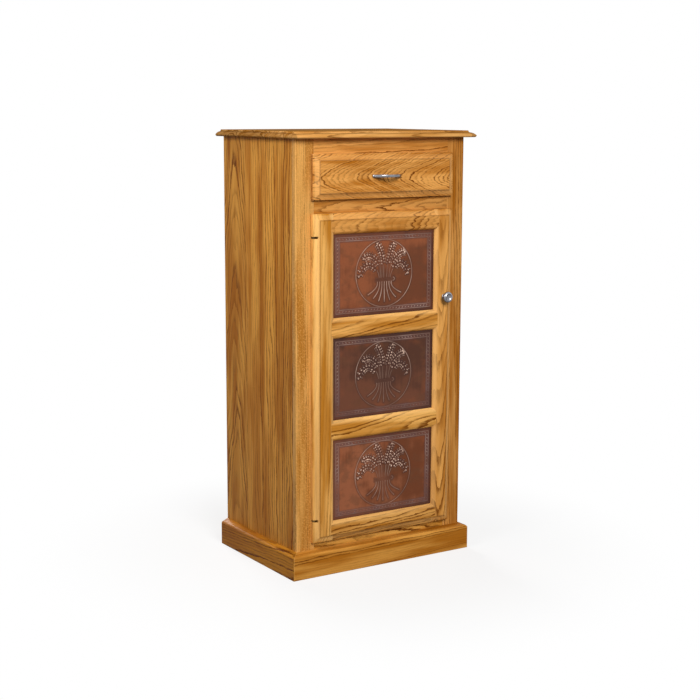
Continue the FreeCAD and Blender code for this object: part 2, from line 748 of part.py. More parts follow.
add("catch_body", catch)
add("catch_magnet", box(magnet_x0, magnet_x1, magnet_y0, magnet_y1, magnet_z0, magnet_z1))
strike_z0 = magnet_z0 - STRIKE_MARGIN
strike_z1 = min(magnet_z1 + STRIKE_MARGIN, door_opening_top - STRIKE_TOP_GAP)
strike = box(
    magnet_x0 - STRIKE_END, magnet_x1 + STRIKE_END, front_back_y, front_back_y + STRIKE_THICKNESS,
    strike_z0, strike_z1,
)
add("catch_strike", strike)

# Pads that hold the door and drawer front off the face frame
pad_x = (opening_half + front_half) / 2


def pad(side, z):
    radius = min(PAD_RADIUS, OVERLAY / 2 - PAD_EDGE_GAP)
    return eight_sided(radius, (side * pad_x, front_back_y, z), (0, 1, 0), FRONT_GAP)


add("door_pads", [pad(1, door_top - DOOR_PAD_INSET), pad(1, door_bottom + DOOR_PAD_INSET)])
drawer_pad_heights = (drawer_front_top - DRAWER_PAD_INSET, drawer_front_bottom + DRAWER_PAD_INSET)
add("drawer_pads", [pad(side, z) for side in (-1, 1) for z in drawer_pad_heights])

# Drawer front, pull and screws
drawer_front = prism(
    "xy", section(-front_half, front_half, lip, lip), drawer_front_bottom, drawer_front_top,
).common(
    prism("yz", turned(section(drawer_front_bottom, drawer_front_top, lip, lip)), -front_half, front_half)
)
half = PULL_LENGTH / 2
inner_half = half - PULL_FOOT
pull_path = [
    (-half, 0), ((0, -PULL_PROJECTION), (half, 0)), (inner_half, 0),
    ((0, PULL_THICKNESS - PULL_PROJECTION), (-inner_half, 0)),
]
pull = prism("xy", pull_path, -PULL_HEIGHT / 2, PULL_HEIGHT / 2)
long_edges = [edge for edge in pull.Edges if edge.Curve.TypeId == "Part::GeomCircle"]
pull = pull.makeChamfer(min(PULL_HEIGHT, PULL_THICKNESS) * 0.3, long_edges)
pull.translate(Vector(0, front_face_y, pull_z))
box_front_back = box_front + DRAWER_BOARD
pull_screw_length = FRONT_THICKNESS + DRAWER_BOARD + PULL_SCREW_BITE
front_screw_length = DRAWER_BOARD + FRONT_SCREW_BITE
pull_screws = []
pull_holes = []
for x in (-PULL_CENTRES / 2, PULL_CENTRES / 2):
    seat = (x, box_front_back, pull_z)
    pull_screws.append(screw(seat, (0, -1, 0), pull_screw_length))
    pull_holes.append(screw_hole(seat, (0, -1, 0), pull_screw_length))
front_screws = []
front_holes = []
for x in (-box_half * 0.72, box_half * 0.72):
    for z in (box_bottom + FRONT_SCREW_LOW, box_top - FRONT_SCREW_HIGH):
        seat = (x, box_front_back, z)
        front_screws.append(screw(seat, (0, -1, 0), front_screw_length))
        front_holes.append(screw_hole(seat, (0, -1, 0), front_screw_length))
add("drawer_front", drawer_front.cut(pull_holes + front_holes))
add("drawer_pull", pull.cut(pull_holes))

# Drawer box with dovetailed corners: the tails are on the sides, their sockets in the front and back
box_height = box_top - box_bottom
tail_count = max(2, int(box_height / TAIL_PITCH))
pitch = box_height / tail_count
narrow = pitch / 2 - TAIL_WEB / 2 - DRAWER_BOARD * TAIL_SLOPE
wide = pitch / 2 - TAIL_WEB / 2


def tails(end_y, inward):
    """Tails of the left side at one end; inward is the direction along y into the board."""
    base_y = end_y + inward * DRAWER_BOARD
    found = []
    for number in range(tail_count):
        z = box_bottom + pitch * (number + 0.5)
        path = [(end_y, z - wide), (end_y, z + wide), (base_y, z + narrow), (base_y, z - narrow)]
        found.append(prism("yz", path, -box_half, -box_half + DRAWER_BOARD))
    return found


groove_z0 = box_bottom + DRAWER_GROOVE_HEIGHT
groove_z1 = groove_z0 + DRAWER_BOTTOM_THICKNESS
inner_half = box_half - DRAWER_BOARD
bottom_y0 = box_front + DRAWER_BOARD - DRAWER_GROOVE_DEPTH
bottom_y1 = box_back - DRAWER_BOARD + DRAWER_GROOVE_DEPTH
bottom_half = inner_half + DRAWER_GROOVE_DEPTH
drawer_bottom = box(-bottom_half, bottom_half, bottom_y0, bottom_y1, groove_z0, groove_z1)
all_tails = tails(box_front, 1) + tails(box_back, -1)
drawer_side = box(
    -box_half, -inner_half, box_front + DRAWER_BOARD, box_back - DRAWER_BOARD, box_bottom, box_top,
)
drawer_side = drawer_side.fuse(all_tails).removeSplitter().cut(drawer_bottom)
sockets = all_tails + [mirrored(tail) for tail in all_tails]
drawer_box_front = box(-box_half, box_half, box_front, box_front + DRAWER_BOARD, box_bottom, box_top)
drawer_box_back = box(-box_half, box_half, box_back - DRAWER_BOARD, box_back, box_bottom, box_top)
drawer_box_front = drawer_box_front.cut(sockets + [drawer_bottom] + pull_holes + front_holes)
drawer_box_back = drawer_box_back.cut(sockets + [drawer_bottom])
add("drawer_box_front", drawer_box_front)
add("drawer_box_back", drawer_box_back)
add("drawer_bottom", drawer_bottom)

# Ball-bearing slides: a case channel, a middle channel and a drawer channel on each side of the drawer
case_half = SLIDE_HEIGHT / 2
middle_half = case_half - SLIDE_STEEL - SLIDE_RACE
inner_channel_half = middle_half - SLIDE_STEEL - SLIDE_RACE
middle_near = SLIDE_STEEL + MIDDLE_WEB_GAP
middle_far = middle_near + SLIDE_STEEL
case_channel = slide_channel(0, SLIDE_STEEL, case_half, SLIDE_THICKNESS - CASE_FLANGE_GAP)
middle_channel = slide_channel(middle_near, middle_far, middle_half, SLIDE_THICKNESS - MIDDLE_FLANGE_GAP)
drawer_channel = slide_channel(
    SLIDE_THICKNESS, SLIDE_THICKNESS - SLIDE_STEEL, inner_channel_half, 2 * SLIDE_STEEL + DRAWER_FLANGE_GAP,
)
outer_race = middle_half + SLIDE_RACE / 2
inner_race = inner_channel_half + SLIDE_RACE / 2
outer_cages = ball_cages(outer_race, OUTER_CAGE_SETOFF, SLIDE_THICKNESS - OUTER_CAGE_GAP)
inner_cages = ball_cages(inner_race, INNER_CAGE_SETOFF, SLIDE_THICKNESS - INNER_CAGE_GAP)
block = box(
    -inside_half, -opening_half, FRAME_THICKNESS, back_front,
    slide_z - BLOCK_HEIGHT / 2, slide_z + BLOCK_HEIGHT / 2,
)
add("slide_case_channels", both_sides(case_channel))
add("slide_middle_channels", both_sides(middle_channel))
add("slide_drawer_channels", both_sides(drawer_channel))
add("slide_outer_cages", outer_cages + [mirrored(cage) for cage in outer_cages])
add("slide_inner_cages", inner_cages + [mirrored(cage) for cage in inner_cages])
add("drawer_screws", pull_screws + front_screws)
add("drawer_left_side", drawer_side)
add("drawer_right_side", mirrored(drawer_side))
add("slide_block_left", block)
add("slide_block_right", mirrored(block))

# Case
add("left_side", side)
add("right_side", mirrored(side))
add("frame_left_stile", left_stile)
add("frame_right_stile", right_stile)
for name, rail in rails.items():
    add(name, rail)
back_half = inside_half + BACK_LAP
add("back_panel", box(-back_half, back_half, back_front, CASE_DEPTH, BACK_FLOOR_GAP, case_top))
add("door_left_stile", door_left_stile)
add("door_right_stile", door_right_stile)
for name, rail in door_rails.items():
    add(name, rail)

# Top board, its cleats and its screws
nose = (-TOP_OVERHANG, case_top + TOP_NOSE_RADIUS)
shoulder = (-TOP_OVERHANG + TOP_SHOULDER_INSET, case_top + TOP_SHOULDER_HEIGHT)
ledge = (-TOP_OVERHANG + TOP_FACE_INSET, TOTAL_HEIGHT)
turn = TOP_NOSE_RADIUS * (1 - math.sqrt(0.5))
top_edge = [
    (-TOP_OVERHANG + TOP_NOSE_RADIUS, case_top),
    ((-TOP_OVERHANG + turn, case_top + turn), nose),
    (bulge(nose, shoulder, TOP_COVE_SWELL), shoulder),
    (bulge(shoulder, ledge, -TOP_EASE_SWELL), ledge),
]
front_form = prism(
    "yz", top_edge + [(CASE_DEPTH, TOTAL_HEIGHT), (CASE_DEPTH, case_top)],
    -half_case - TOP_OVERHANG - REACH, half_case + TOP_OVERHANG + REACH,
)


def moved(step, distance):
    if is_arc(step):
        return tuple((p[0] + distance, p[1]) for p in step)
    return (step[0] + distance, step[1])


side_edge = [moved(step, -half_case) for step in top_edge]
far_side = half_case + TOP_OVERHANG + REACH
left_form = prism(
    "xz", side_edge + [(far_side, TOTAL_HEIGHT), (far_side, case_top)], -TOP_OVERHANG - REACH, CASE_DEPTH,
)
top_board = front_form.common(left_form).common(mirrored(left_form))
cleat_y0 = FRAME_THICKNESS
cleat_y1 = back_front - CLEAT_SIZE
cleat_low = case_top - CLEAT_SIZE
side_cleat = box(
    -inside_half, -inside_half + CLEAT_SIZE, cleat_y0, cleat_y1 - CLEAT_END_GAP, cleat_low, case_top,
)
rear_cleat = box(-inside_half, inside_half, cleat_y1, back_front, cleat_low, case_top)
top_screws = []
top_screw_length = CLEAT_SIZE + TOP_SCREW_BITE
for share in (0.15, 0.85):
    y = cleat_y0 + (cleat_y1 - cleat_y0) * share
    seat = (-inside_half + CLEAT_SIZE / 2, y, cleat_low)
    top_screws.append(screw(seat, (0, 0, 1), top_screw_length))
    hole = screw_hole(seat, (0, 0, 1), top_screw_length)
    side_cleat = side_cleat.cut(hole)
    top_board = top_board.cut([hole, mirrored(hole)])
add("top_board", top_board)
add("top_cleats", both_sides(side_cleat) + [rear_cleat])
top_screws += [mirrored(piece) for piece in top_screws]
add("case_screws", top_screws + case_leaf_screws + catch_screws)

# Base boards, mitred at the front corners, with glue blocks behind them
base_outer = half_case + BASE_THICKNESS
base_shoulder = (-BASE_THICKNESS, BASE_FACE_HEIGHT)
base_turn = (-BASE_THICKNESS + BASE_SHOULDER_RUN, BASE_FACE_HEIGHT + BASE_SHOULDER_RISE)
base_section = [
    (0, 0), (-BASE_THICKNESS, 0), base_shoulder,
    (bulge(base_shoulder, base_turn, BASE_SHOULDER_SWELL), base_turn), (0, BASE_HEIGHT),
]
front_board = prism("yz", base_section, -base_outer, base_outer)
front_plan = [(-base_outer, -BASE_THICKNESS), (base_outer, -BASE_THICKNESS), (half_case, 0), (-half_case, 0)]
add("base_front", front_board.common(prism("xy", front_plan, 0, BASE_HEIGHT)))
side_section = [moved(step, -half_case) for step in base_section]
side_board = prism("xz", side_section, -BASE_THICKNESS, CASE_DEPTH)
side_plan = [
    (-base_outer, -BASE_THICKNESS), (-half_case, 0), (-half_case, CASE_DEPTH), (-base_outer, CASE_DEPTH),
]
side_board = side_board.common(prism("xy", side_plan, 0, BASE_HEIGHT))
add("base_left", side_board)
add("base_right", mirrored(side_board))
block_x = -inside_half
block_size = BASE_BLOCK_SIZE
glue_block = prism(
    "xy",
    [
        (block_x, FRAME_THICKNESS), (block_x + block_size, FRAME_THICKNESS),
        (block_x, FRAME_THICKNESS + block_size),
    ],
    max(0, FLOOR_HEIGHT - BOTTOM_THICKNESS - BASE_BLOCK_HEIGHT), FLOOR_HEIGHT - BOTTOM_THICKNESS,
)
rear_rail = box(
    -inside_half, inside_half, back_front - SIDE_THICKNESS, back_front,
    BACK_FLOOR_GAP, FLOOR_HEIGHT - BOTTOM_THICKNESS,
)
add("base_glue_blocks", both_sides(glue_block))
add("base_back_rail", rear_rail)

os.makedirs("parts", exist_ok=True)
for name, solids in nodes.items():
    shape = solids[0] if len(solids) == 1 else Part.makeCompound(solids)
    shape = shape.copy()
    shape.translate(Vector(0, shift_y, 0))
    shape.exportStep("parts/" + name + ".step")
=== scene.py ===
import json
import math

import bpy
import numpy as np
from mathutils import Matrix, Vector


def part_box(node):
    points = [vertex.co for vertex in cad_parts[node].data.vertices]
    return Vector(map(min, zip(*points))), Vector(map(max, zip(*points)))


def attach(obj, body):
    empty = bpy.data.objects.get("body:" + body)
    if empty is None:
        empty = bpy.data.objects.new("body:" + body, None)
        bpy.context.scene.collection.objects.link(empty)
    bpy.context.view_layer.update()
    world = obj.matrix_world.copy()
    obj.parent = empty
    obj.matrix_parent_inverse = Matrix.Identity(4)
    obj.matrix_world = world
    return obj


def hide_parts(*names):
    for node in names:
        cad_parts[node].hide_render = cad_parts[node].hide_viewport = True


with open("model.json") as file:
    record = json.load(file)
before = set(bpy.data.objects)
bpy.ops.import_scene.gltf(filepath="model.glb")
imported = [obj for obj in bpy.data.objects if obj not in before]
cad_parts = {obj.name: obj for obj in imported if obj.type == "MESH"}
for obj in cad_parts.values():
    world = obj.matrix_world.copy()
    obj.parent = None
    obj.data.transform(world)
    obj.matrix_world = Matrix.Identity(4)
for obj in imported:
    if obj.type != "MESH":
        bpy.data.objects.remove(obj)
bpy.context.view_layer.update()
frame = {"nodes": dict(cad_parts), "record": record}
bpy.context.scene.view_settings.view_transform = "Standard"

MM = 0.001
X_AXIS = Vector((1, 0, 0))
Y_AXIS = Vector((0, 1, 0))
Z_AXIS = Vector((0, 0, 1))

bodies = {}
for body, members in frame["record"]["behaviour"]["bodies"].items():
    for node in members:
        bodies[node] = body


# Finishes

class Wire:
    """An output of a finish's node. Arithmetic on it adds Math nodes."""

    def __init__(self, finish, socket):
        self.finish = finish
        self.socket = socket

    def __add__(self, other):
        return self.finish.maths("ADD", self, other)

    def __sub__(self, other):
        return self.finish.maths("SUBTRACT", self, other)

    def __mul__(self, other):
        return self.finish.maths("MULTIPLY", self, other)

    def __truediv__(self, other):
        return self.finish.maths("DIVIDE", self, other)

    def __pow__(self, other):
        return self.finish.maths("POWER", self, other)

    def __abs__(self):
        return self.finish.maths("ABSOLUTE", self)

    def __radd__(self, other):
        return self.finish.maths("ADD", other, self)

    def __rsub__(self, other):
        return self.finish.maths("SUBTRACT", other, self)

    def __rmul__(self, other):
        return self.finish.maths("MULTIPLY", other, self)


class Finish:
    """A material, or the studio's world, and the nodes that make it up."""

    def __init__(self, name, world=None, shader="Principled BSDF"):
        self.made = world or bpy.data.materials.new(name)
        self.made.use_nodes = True
        self.tree = self.made.node_tree
        self.shader = self.tree.nodes[shader]

    def node(self, kind, settings=None, sockets=None, output=0):
        """Adds a node, sets it up, feeds its sockets with values or wires, and gives one of its outputs."""
        made = self.tree.nodes.new(kind)
        for name, value in (settings or {}).items():
            setattr(made, name, value)
        for name, value in (sockets or {}).items():
            self.feed(made.inputs[name], value)
        return Wire(self, made.outputs[output])

    def feed(self, socket, value):
        if isinstance(value, Wire):
            self.tree.links.new(value.socket, socket)
        else:
            socket.default_value = value

    def dress(self, **sockets):
        """Feeds the shader; underscores in the names stand for spaces."""
        for name, value in sockets.items():
            self.feed(self.shader.inputs[name.replace("_", " ")], value)
        return self.made

    def maths(self, operation, *values):
        return self.node("ShaderNodeMath", {"operation": operation}, dict(enumerate(values)))

    def joined(self, x, y, z):
        return self.node("ShaderNodeCombineXYZ", sockets={0: x, 1: y, 2: z})

    def parts(self, vector):
        split = self.node("ShaderNodeSeparateXYZ", sockets={0: vector}).socket.node
        return [Wire(self, output) for output in split.outputs]

    def place(self):
        return self.node("ShaderNodeTexCoord", output="Object")

    def millimetres(self, middle=(0, 0, 0), turn=Matrix.Identity(3)):
        """The place on a piece in millimetres from a middle point, along the rows of turn."""
        sockets = {
            "Vector": self.place(),
            "Location": -(turn @ Vector(middle)) / MM,
            "Rotation": turn.to_euler("XYZ"),
            "Scale": (1 / MM,) * 3,
        }
        return self.node("ShaderNodeMapping", {"vector_type": "POINT"}, sockets)

    def tilt(self):
        """How far the surface faces up: 1 upwards, 0 sideways and -1 downwards."""
        return self.parts(self.node("ShaderNodeNewGeometry", output="Normal"))[2]

    def nearness(self, reach, inside):
        """1 on open faces, less in the piece's inner angles or, measured inside it, at its outer edges."""
        settings = {"samples": 6, "only_local": True, "inside": inside}
        return self.node("ShaderNodeAmbientOcclusion", settings, {"Distance": reach * MM}, output="AO")

    def stretched(self, vector, scale, offset=(0, 0, 0)):
        sockets = {0: vector, 1: scale, 2: offset}
        return self.node("ShaderNodeVectorMath", {"operation": "MULTIPLY_ADD"}, sockets)

    def noise(self, vector, detail=2.0, roughness=0.5):
        sockets = {"Vector": vector, "Scale": 1.0, "Detail": detail, "Roughness": roughness}
        return self.node("ShaderNodeTexNoise", sockets=sockets)

    def chance(self, value):
        return self.node("ShaderNodeTexWhiteNoise", {"noise_dimensions": "1D"}, {"W": value})

    def mark(self, name):
        """A value that a piece carries on its points."""
        return self.node("ShaderNodeAttribute", {"attribute_name": name}, output="Fac")

    def rise(self, value, low, high):
        """Goes smoothly from 0 to 1 as the value goes from low to high."""
        sockets = {"Value": value, "From Min": low, "From Max": high}
        return self.node("ShaderNodeMapRange", {"interpolation_type": "SMOOTHSTEP"}, sockets)

    def mix(self, share, first, second, blend="MIX"):
        sockets = {0: share, 6: first, 7: second}
        return self.node("ShaderNodeMix", {"data_type": "RGBA", "blend_type": blend}, sockets, 2)

    def bump(self, height, depth, strength):
        """Relief too fine to model, with its depth in millimetres."""
        sockets = {"Height": height, "Distance": depth * MM, "Strength": strength}
        return self.node("ShaderNodeBump", sockets=sockets)


def colour(red, green, blue):
    """Linear colour from 0 to 255 screen values."""
    def linear(value):
        share = value / 255
        return share / 12.92 if share <= 0.04045 else ((share + 0.055) / 1.055) ** 2.4
    return (linear(red), linear(green), linear(blue), 1.0)


def dimmed(tone, share):
    """A colour with a share of its light or, with a share above 1, with more light."""
    return tuple(min(1.0, value * share) for value in tone[:3]) + (1.0,)


# Wood: each palette has pale wood, warm wood, ring lines and pores
GOLDEN = (colour(233, 167, 95), colour(180, 108, 28), colour(116, 61, 10), colour(84, 44, 14))
SEALED = (colour(206, 160, 104), colour(192, 142, 84), colour(150, 100, 52), colour(110, 70, 34))
MAPLE = (colour(224, 192, 146), colour(214, 178, 128), colour(186, 144, 94), colour(160, 120, 76))
BEVEL_HIGHLIGHT_TONE = colour(236, 180, 120)
WORN_HIGHLIGHT_TONE = colour(240, 192, 140)
BEVEL_WIDTH = 17.0


class Timber(Finish):
    """The finish of a board, measured in millimetres along, across and through its grain.

    The seed gives each board a grain of its own.
    """

    def __init__(self, name, node, grain, seed):
        super().__init__(name)
        low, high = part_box(node)
        along, across = grain
        turn = Matrix((along, across, along.cross(across)))
        self.half_length = abs(along.dot(high - low)) / 2 / MM
        self.half_width = abs(across.dot(high - low)) / 2 / MM
        self.spot = self.millimetres((low + high) / 2, turn)
        self.u, self.v, self.w = self.parts(self.spot)
        self.seed = seed
        self.shift = (seed * 3.71, seed * 1.37, seed * 2.11)
        self.strip = 0.0
        self.seam = 0.0

    def glue(self, first, strips):
        """Values that jump from one glued strip to the next. It also counts strips and marks their seams."""
        values = first
        last = first
        for edge, *following in strips:
            past = self.maths("GREATER_THAN", self.v, edge)
            self.strip = past + self.strip
            self.seam = self.maths("MAXIMUM", 1 - self.rise(abs(self.v - edge), 0.2, 0.9), self.seam)
            values = [past * (new - old) + value for value, old, new in zip(values, last, following)]
            last = following
        if strips:
            along, across, through = self.shift
            self.shift = self.joined(self.strip * 5.3 + along, self.strip * 2.9 + across, through * 2)
        return values

    def field(self, length, width, detail, roughness=0.55):
        """Noise with patches of the given length along the grain and width across it."""
        scale = (1 / length, 1 / width, 1 / width)
        return self.noise(self.stretched(self.spot, scale, self.shift), detail, roughness)

    def rings(self, heart_v, heart_w, taper, spacing, sway, ripple, sparse):
        """The lines that begin the yearly rings, strong and faint ones, and a chance value of each ring."""
        drift = (self.field(260, 60, 2.0, 0.45) - 0.5) * (sway * 30)
        feather = (self.field(36, 9, 4.0, 0.62) - 0.5) * ripple
        broken = self.rise(self.field(26, 4, 2.0), 0.36, 0.6)
        radius = ((self.v - heart_v) ** 2 + (self.w - heart_w) ** 2) ** 0.5
        ring = (radius + self.u * taper + drift + feather) / spacing
        year = self.maths("FLOOR", ring)
        weight = self.chance(year + self.seed * 17.3 + self.strip * 31.0)
        late = self.chance(year + self.seed * 5.9 + self.strip * 13.0 + 0.5)
        early = 1 - self.rise(ring - year, 0.04, 0.55)
        return early * (weight ** sparse * 0.9 + 0.18) * (broken * 0.45 + 0.55), late

    def rays(self):
        """The slanted flecks of a quartered board."""
        slanted = self.joined((self.u + self.v * 0.5) / 4, self.v / 6, self.w / 9 + self.seed)
        return self.rise(self.noise(slanted), 0.46, 0.66)

    def cut_ends(self, reach):
        """The ends of the board, as far in as reach."""
        start = self.half_length - reach
        return self.rise(abs(self.u), start - 0.1, start)

    def moulding(self, side, width):
        """The moulded front edge along one side of the board."""
        near = 1 - self.rise(self.half_width - self.v * side, width * 0.4, width * 1.4)
        return near * (1 - self.rise(self.w, -1, 1))

    def lip(self, low, high):
        """A front's bevelled edge, which of it is at the two ends, and the step at its inner side."""
        x, y, z = self.parts(self.millimetres((low + high) / 2))
        inset_x = (high.x - low.x) / 2 / MM - abs(x)
        inset_z = (high.z - low.z) / 2 / MM - abs(z)
        inset = self.maths("MINIMUM", inset_x, inset_z)
        front = 1 - self.rise(y, -2, 0)
        bevel = 1 - self.rise(inset, BEVEL_WIDTH - 0.4, BEVEL_WIDTH + 0.2)
        step = 1 - self.rise(abs(inset - BEVEL_WIDTH - 0.8), 0.5, 2.6)
        return bevel * front, self.maths("LESS_THAN", inset_x, inset_z), step * front


def wood(name, node, grain, heart, spacing, taper, seed, sway=0.7, tone=0.0, strips=(), palette=GOLDEN,
         gloss=0.42, sheen=0.06, flecks=0.0, contrast=1.0, ripple=7.0, lip=None, sticking=(0, 0), wear_and_highlight=0.0,
         yellow=0.0, deep=0.0, end_grain=0.1, sparse=1.5, upper=0.0):
    """Wood whose yearly rings run round a heart line, in millimetres from the middle of the node.

    Grain gives the directions along and across the board, taper how fast its rings widen along it, and sway
    and ripple how far they stray. The more sparse the lines, the fewer of them are strong. Strips are boards
    glued edge to edge: each gives where it starts across the node, and its own heart line, tone, taper and
    contrast. Flecks are the rays of a quartered board. Lip is the box of the front that the board is part of:
    its bevelled edge is painted paler as a highlight, and its step painted dark as shade. Sticking gives the
    widths of the moulded edges on the board's two sides, painted paler as a highlight, and end_grain how far
    in from its ends the cut fibres show. Yellow and deep move the hue of the whole board, deep towards brown.
    Each board is painted dark as shade in its inner angles; its outer edges can be painted pale, as wear and
    highlight both, and its face that looks up painted dark as shade.
    """
    finish = Timber(name, node, grain, seed)
    first = (*heart, tone, taper, contrast)
    heart_v, heart_w, tone, taper, contrast = finish.glue(first, strips)
    line, late = finish.rings(heart_v, heart_w, taper, spacing, sway, ripple, sparse)
    fibre = finish.field(60, 1.9, 4.0, 0.65)
    streak = finish.field(190, 7, 3.0, 0.6)
    pores = finish.rise(finish.field(9, 0.42, 1.0), 0.58, 0.7) * (line * 0.7 + 0.3)
    cloud = finish.rise(finish.field(280, 34, 2.0), 0.35, 0.65)
    pale, warm, dark, hollow = palette
    shade = finish.mix(cloud * 0.8 + (late - 0.5) * 0.4, pale, warm)
    strength = line * 1.2 + (fibre - 0.5) * 0.8 + (streak - 0.47) * 0.65
    shade = finish.mix(strength * contrast, shade, dark)
    if flecks:
        shade = finish.mix(finish.rays() * flecks, shade, dimmed(pale, 1.16))
    step = 0.0
    # A front's bevel is painted paler as a highlight, more on the bevels at its two ends.
    if lip:
        bevel, ends, step = finish.lip(*lip)
        shade = finish.mix(bevel * (ends * 0.22 + 0.26), shade, BEVEL_HIGHLIGHT_TONE)
    # Moulded edges are painted paler as a highlight.
    for side, width in zip((-1, 1), sticking):
        if width:
            shade = finish.mix(finish.moulding(side, width) * 0.5, shade, BEVEL_HIGHLIGHT_TONE)
    # Painted shade darkens the board's inner angles and the step of a front; pores, cut ends and seams are
    # the wood's own colour.
    corner_shade = 1 - finish.rise(finish.nearness(8, False), 0.5, 0.97)
    stain_and_shade = pores * 0.5 + finish.cut_ends(end_grain) * 0.42 + finish.seam * 0.45 + corner_shade * 0.7 + step * 0.3
    shade = finish.mix(stain_and_shade, shade, hollow)
    # Outer edges are painted paler, partly as wear and partly as a highlight.
    if wear_and_highlight:
        arris_wear_and_highlight = 1 - finish.rise(finish.nearness(3, True), 0.5, 0.95)
        shade = finish.mix(arris_wear_and_highlight * wear_and_highlight, shade, WORN_HIGHLIGHT_TONE)
    # The face that looks up is painted darker as shade.
    if upper:
        shade = finish.mix(finish.rise(finish.tilt(), 0.9, 0.99) * upper, shade, hollow)
    light = 1 - tone
    tint = finish.joined(light, light * (0.98 + yellow), light * ((0.95 + 1.6 * yellow) * (1 - deep)))
    return finish.dress(
        Base_Color=finish.mix(1.0, shade, tint, "MULTIPLY"),
        Roughness=line * 0.1 + pores * 0.2 + gloss,
        Specular_IOR_Level=sheen,
        Normal=finish.bump(0.6 - line * 0.25 - pores * 0.7 + fibre * 0.3, 0.12, 0.6),
    )


def plate(name, base, tarnish, roughness, underside_shade=0.0):
    """Plated or raw metal: fine brush lines, faint clouds of tarnish, and dirt with painted shade in hollows.

    Underside shade is how much painted shade darkens the metal where it faces down.
    """
    finish = Finish(name)
    spot = finish.millimetres()
    cloud = finish.rise(finish.noise(finish.stretched(spot, (1 / 14,) * 3), 3.0), 0.42, 0.72)
    brush = finish.noise(finish.stretched(spot, (1 / 6, 1 / 6, 4)))
    # Dirt and painted shade in the hollows, and painted shade where the metal faces down.
    dirt_and_shade = 1 - finish.rise(finish.nearness(7, False), 0.45, 0.98)
    if underside_shade:
        dirt_and_shade = finish.maths("MAXIMUM", dirt_and_shade, (1 - finish.rise(finish.tilt(), -0.7, 0.5)) * underside_shade)
    tint = finish.mix(cloud * 0.6, base, tarnish)
    return finish.dress(
        Base_Color=finish.mix(dirt_and_shade * 0.85, tint, dimmed(tarnish, 0.2)),
        Metallic=1.0,
        Roughness=cloud * 0.1 + brush * 0.06 + roughness,
        Normal=finish.bump(brush, 0.02, 0.4),
    )


def moulded(name, base, roughness):
    """Moulded plastic or rubber with a fine grain."""
    finish = Finish(name)
    grain = finish.noise(finish.stretched(finish.millimetres(), (1.6,) * 3))
    return finish.dress(
        Base_Color=finish.mix(grain * 0.35, base, dimmed(base, 0.72)),
        Roughness=grain * 0.15 + roughness,
        Normal=finish.bump(grain, 0.03, 0.5),
    )


# Tools of the bench: lengths in millimetres, angles in degrees
MERGE_WITHIN = 0.005
FLAT_WITHIN = 0.4
SHARP_FROM = 38
EASED_SEGMENTS = 2


def choose(*pieces):
    """Selects these pieces and nothing else. The last of them is the one that is worked on."""
    bpy.ops.object.select_all(action="DESELECT")
    for piece in pieces:
        piece.select_set(True)
        bpy.context.view_layer.objects.active = piece


def fit(piece, node, material):
    """Finishes a piece that stands for a node: it gets its material, and rides on the node's body."""
    piece.data.materials.clear()
    piece.data.materials.append(material)
    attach(piece, bodies[node])
    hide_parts(node)


def round_over(piece, width, segments, sharp_from, smooth):
    """Rounds the edges that turn by more than an angle, and shades the piece smooth."""
    choose(piece)
    rounding = piece.modifiers.new("rounding", "BEVEL")
    rounding.width = width * MM
    rounding.segments = segments
    rounding.limit_method = "ANGLE"
    rounding.angle_limit = math.radians(sharp_from)
    rounding.use_clamp_overlap = True
    bpy.ops.object.modifier_apply(modifier=rounding.name)
    bpy.ops.object.shade_smooth_by_angle(angle=math.radians(smooth))


def eased(node, width, smooth=24):
    """A copy of a node with its sharp edges rounded over."""
    piece = bpy.data.objects.new("eased_" + node, frame["nodes"][node].data.copy())
    bpy.context.scene.collection.objects.link(piece)
    choose(piece)
    bpy.ops.object.mode_set(mode="EDIT")
    bpy.ops.mesh.select_all(action="SELECT")
    bpy.ops.mesh.remove_doubles(threshold=MERGE_WITHIN * MM)
    bpy.ops.mesh.dissolve_limited(angle_limit=math.radians(FLAT_WITHIN))
    bpy.ops.object.mode_set(mode="OBJECT")
    round_over(piece, width, EASED_SEGMENTS, SHARP_FROM, smooth)
    return piece


def bent_line(start, middle, end, steps=6):
    """Points of a smooth bend that passes through the three given ones."""
    start, middle, end = (np.array(point, float) for point in (start, middle, end))
    control = 2 * middle - (start + end) / 2
    share = np.linspace(0, 1, steps + 1)[:, None]
    return (1 - share) ** 2 * start + 2 * share * (1 - share) * control + share ** 2 * end


def turned(name, rings, sides):
    """A piece from the lathe that stands on the origin. Its rings give radius and height in millimetres."""
    choose()
    radius, height = rings[0]
    bpy.ops.mesh.primitive_circle_add(
        vertices=sides, radius=radius * MM, fill_type="NGON", location=(0, 0, height * MM),
    )
    piece = bpy.context.object
    piece.name = name
    bpy.ops.object.transform_apply(location=True)
    bpy.ops.object.mode_set(mode="EDIT")
    bpy.ops.mesh.select_all(action="SELECT")
    for next_radius, next_height in rings[1:]:
        climb = (0, 0, (next_height - height) * MM)
        bpy.ops.mesh.extrude_region_move(TRANSFORM_OT_translate={"value": climb})
        grow = next_radius / radius
        bpy.ops.transform.resize(value=(grow, grow, 1), center_override=(0, 0, next_height * MM))
        radius, height = next_radius, next_height
    bpy.ops.mesh.merge(type="CENTER")
    bpy.ops.mesh.select_all(action="SELECT")
    bpy.ops.mesh.normals_make_consistent(inside=False)
    bpy.ops.object.mode_set(mode="OBJECT")
    bpy.ops.object.shade_smooth_by_angle(angle=math.radians(40))
    return piece


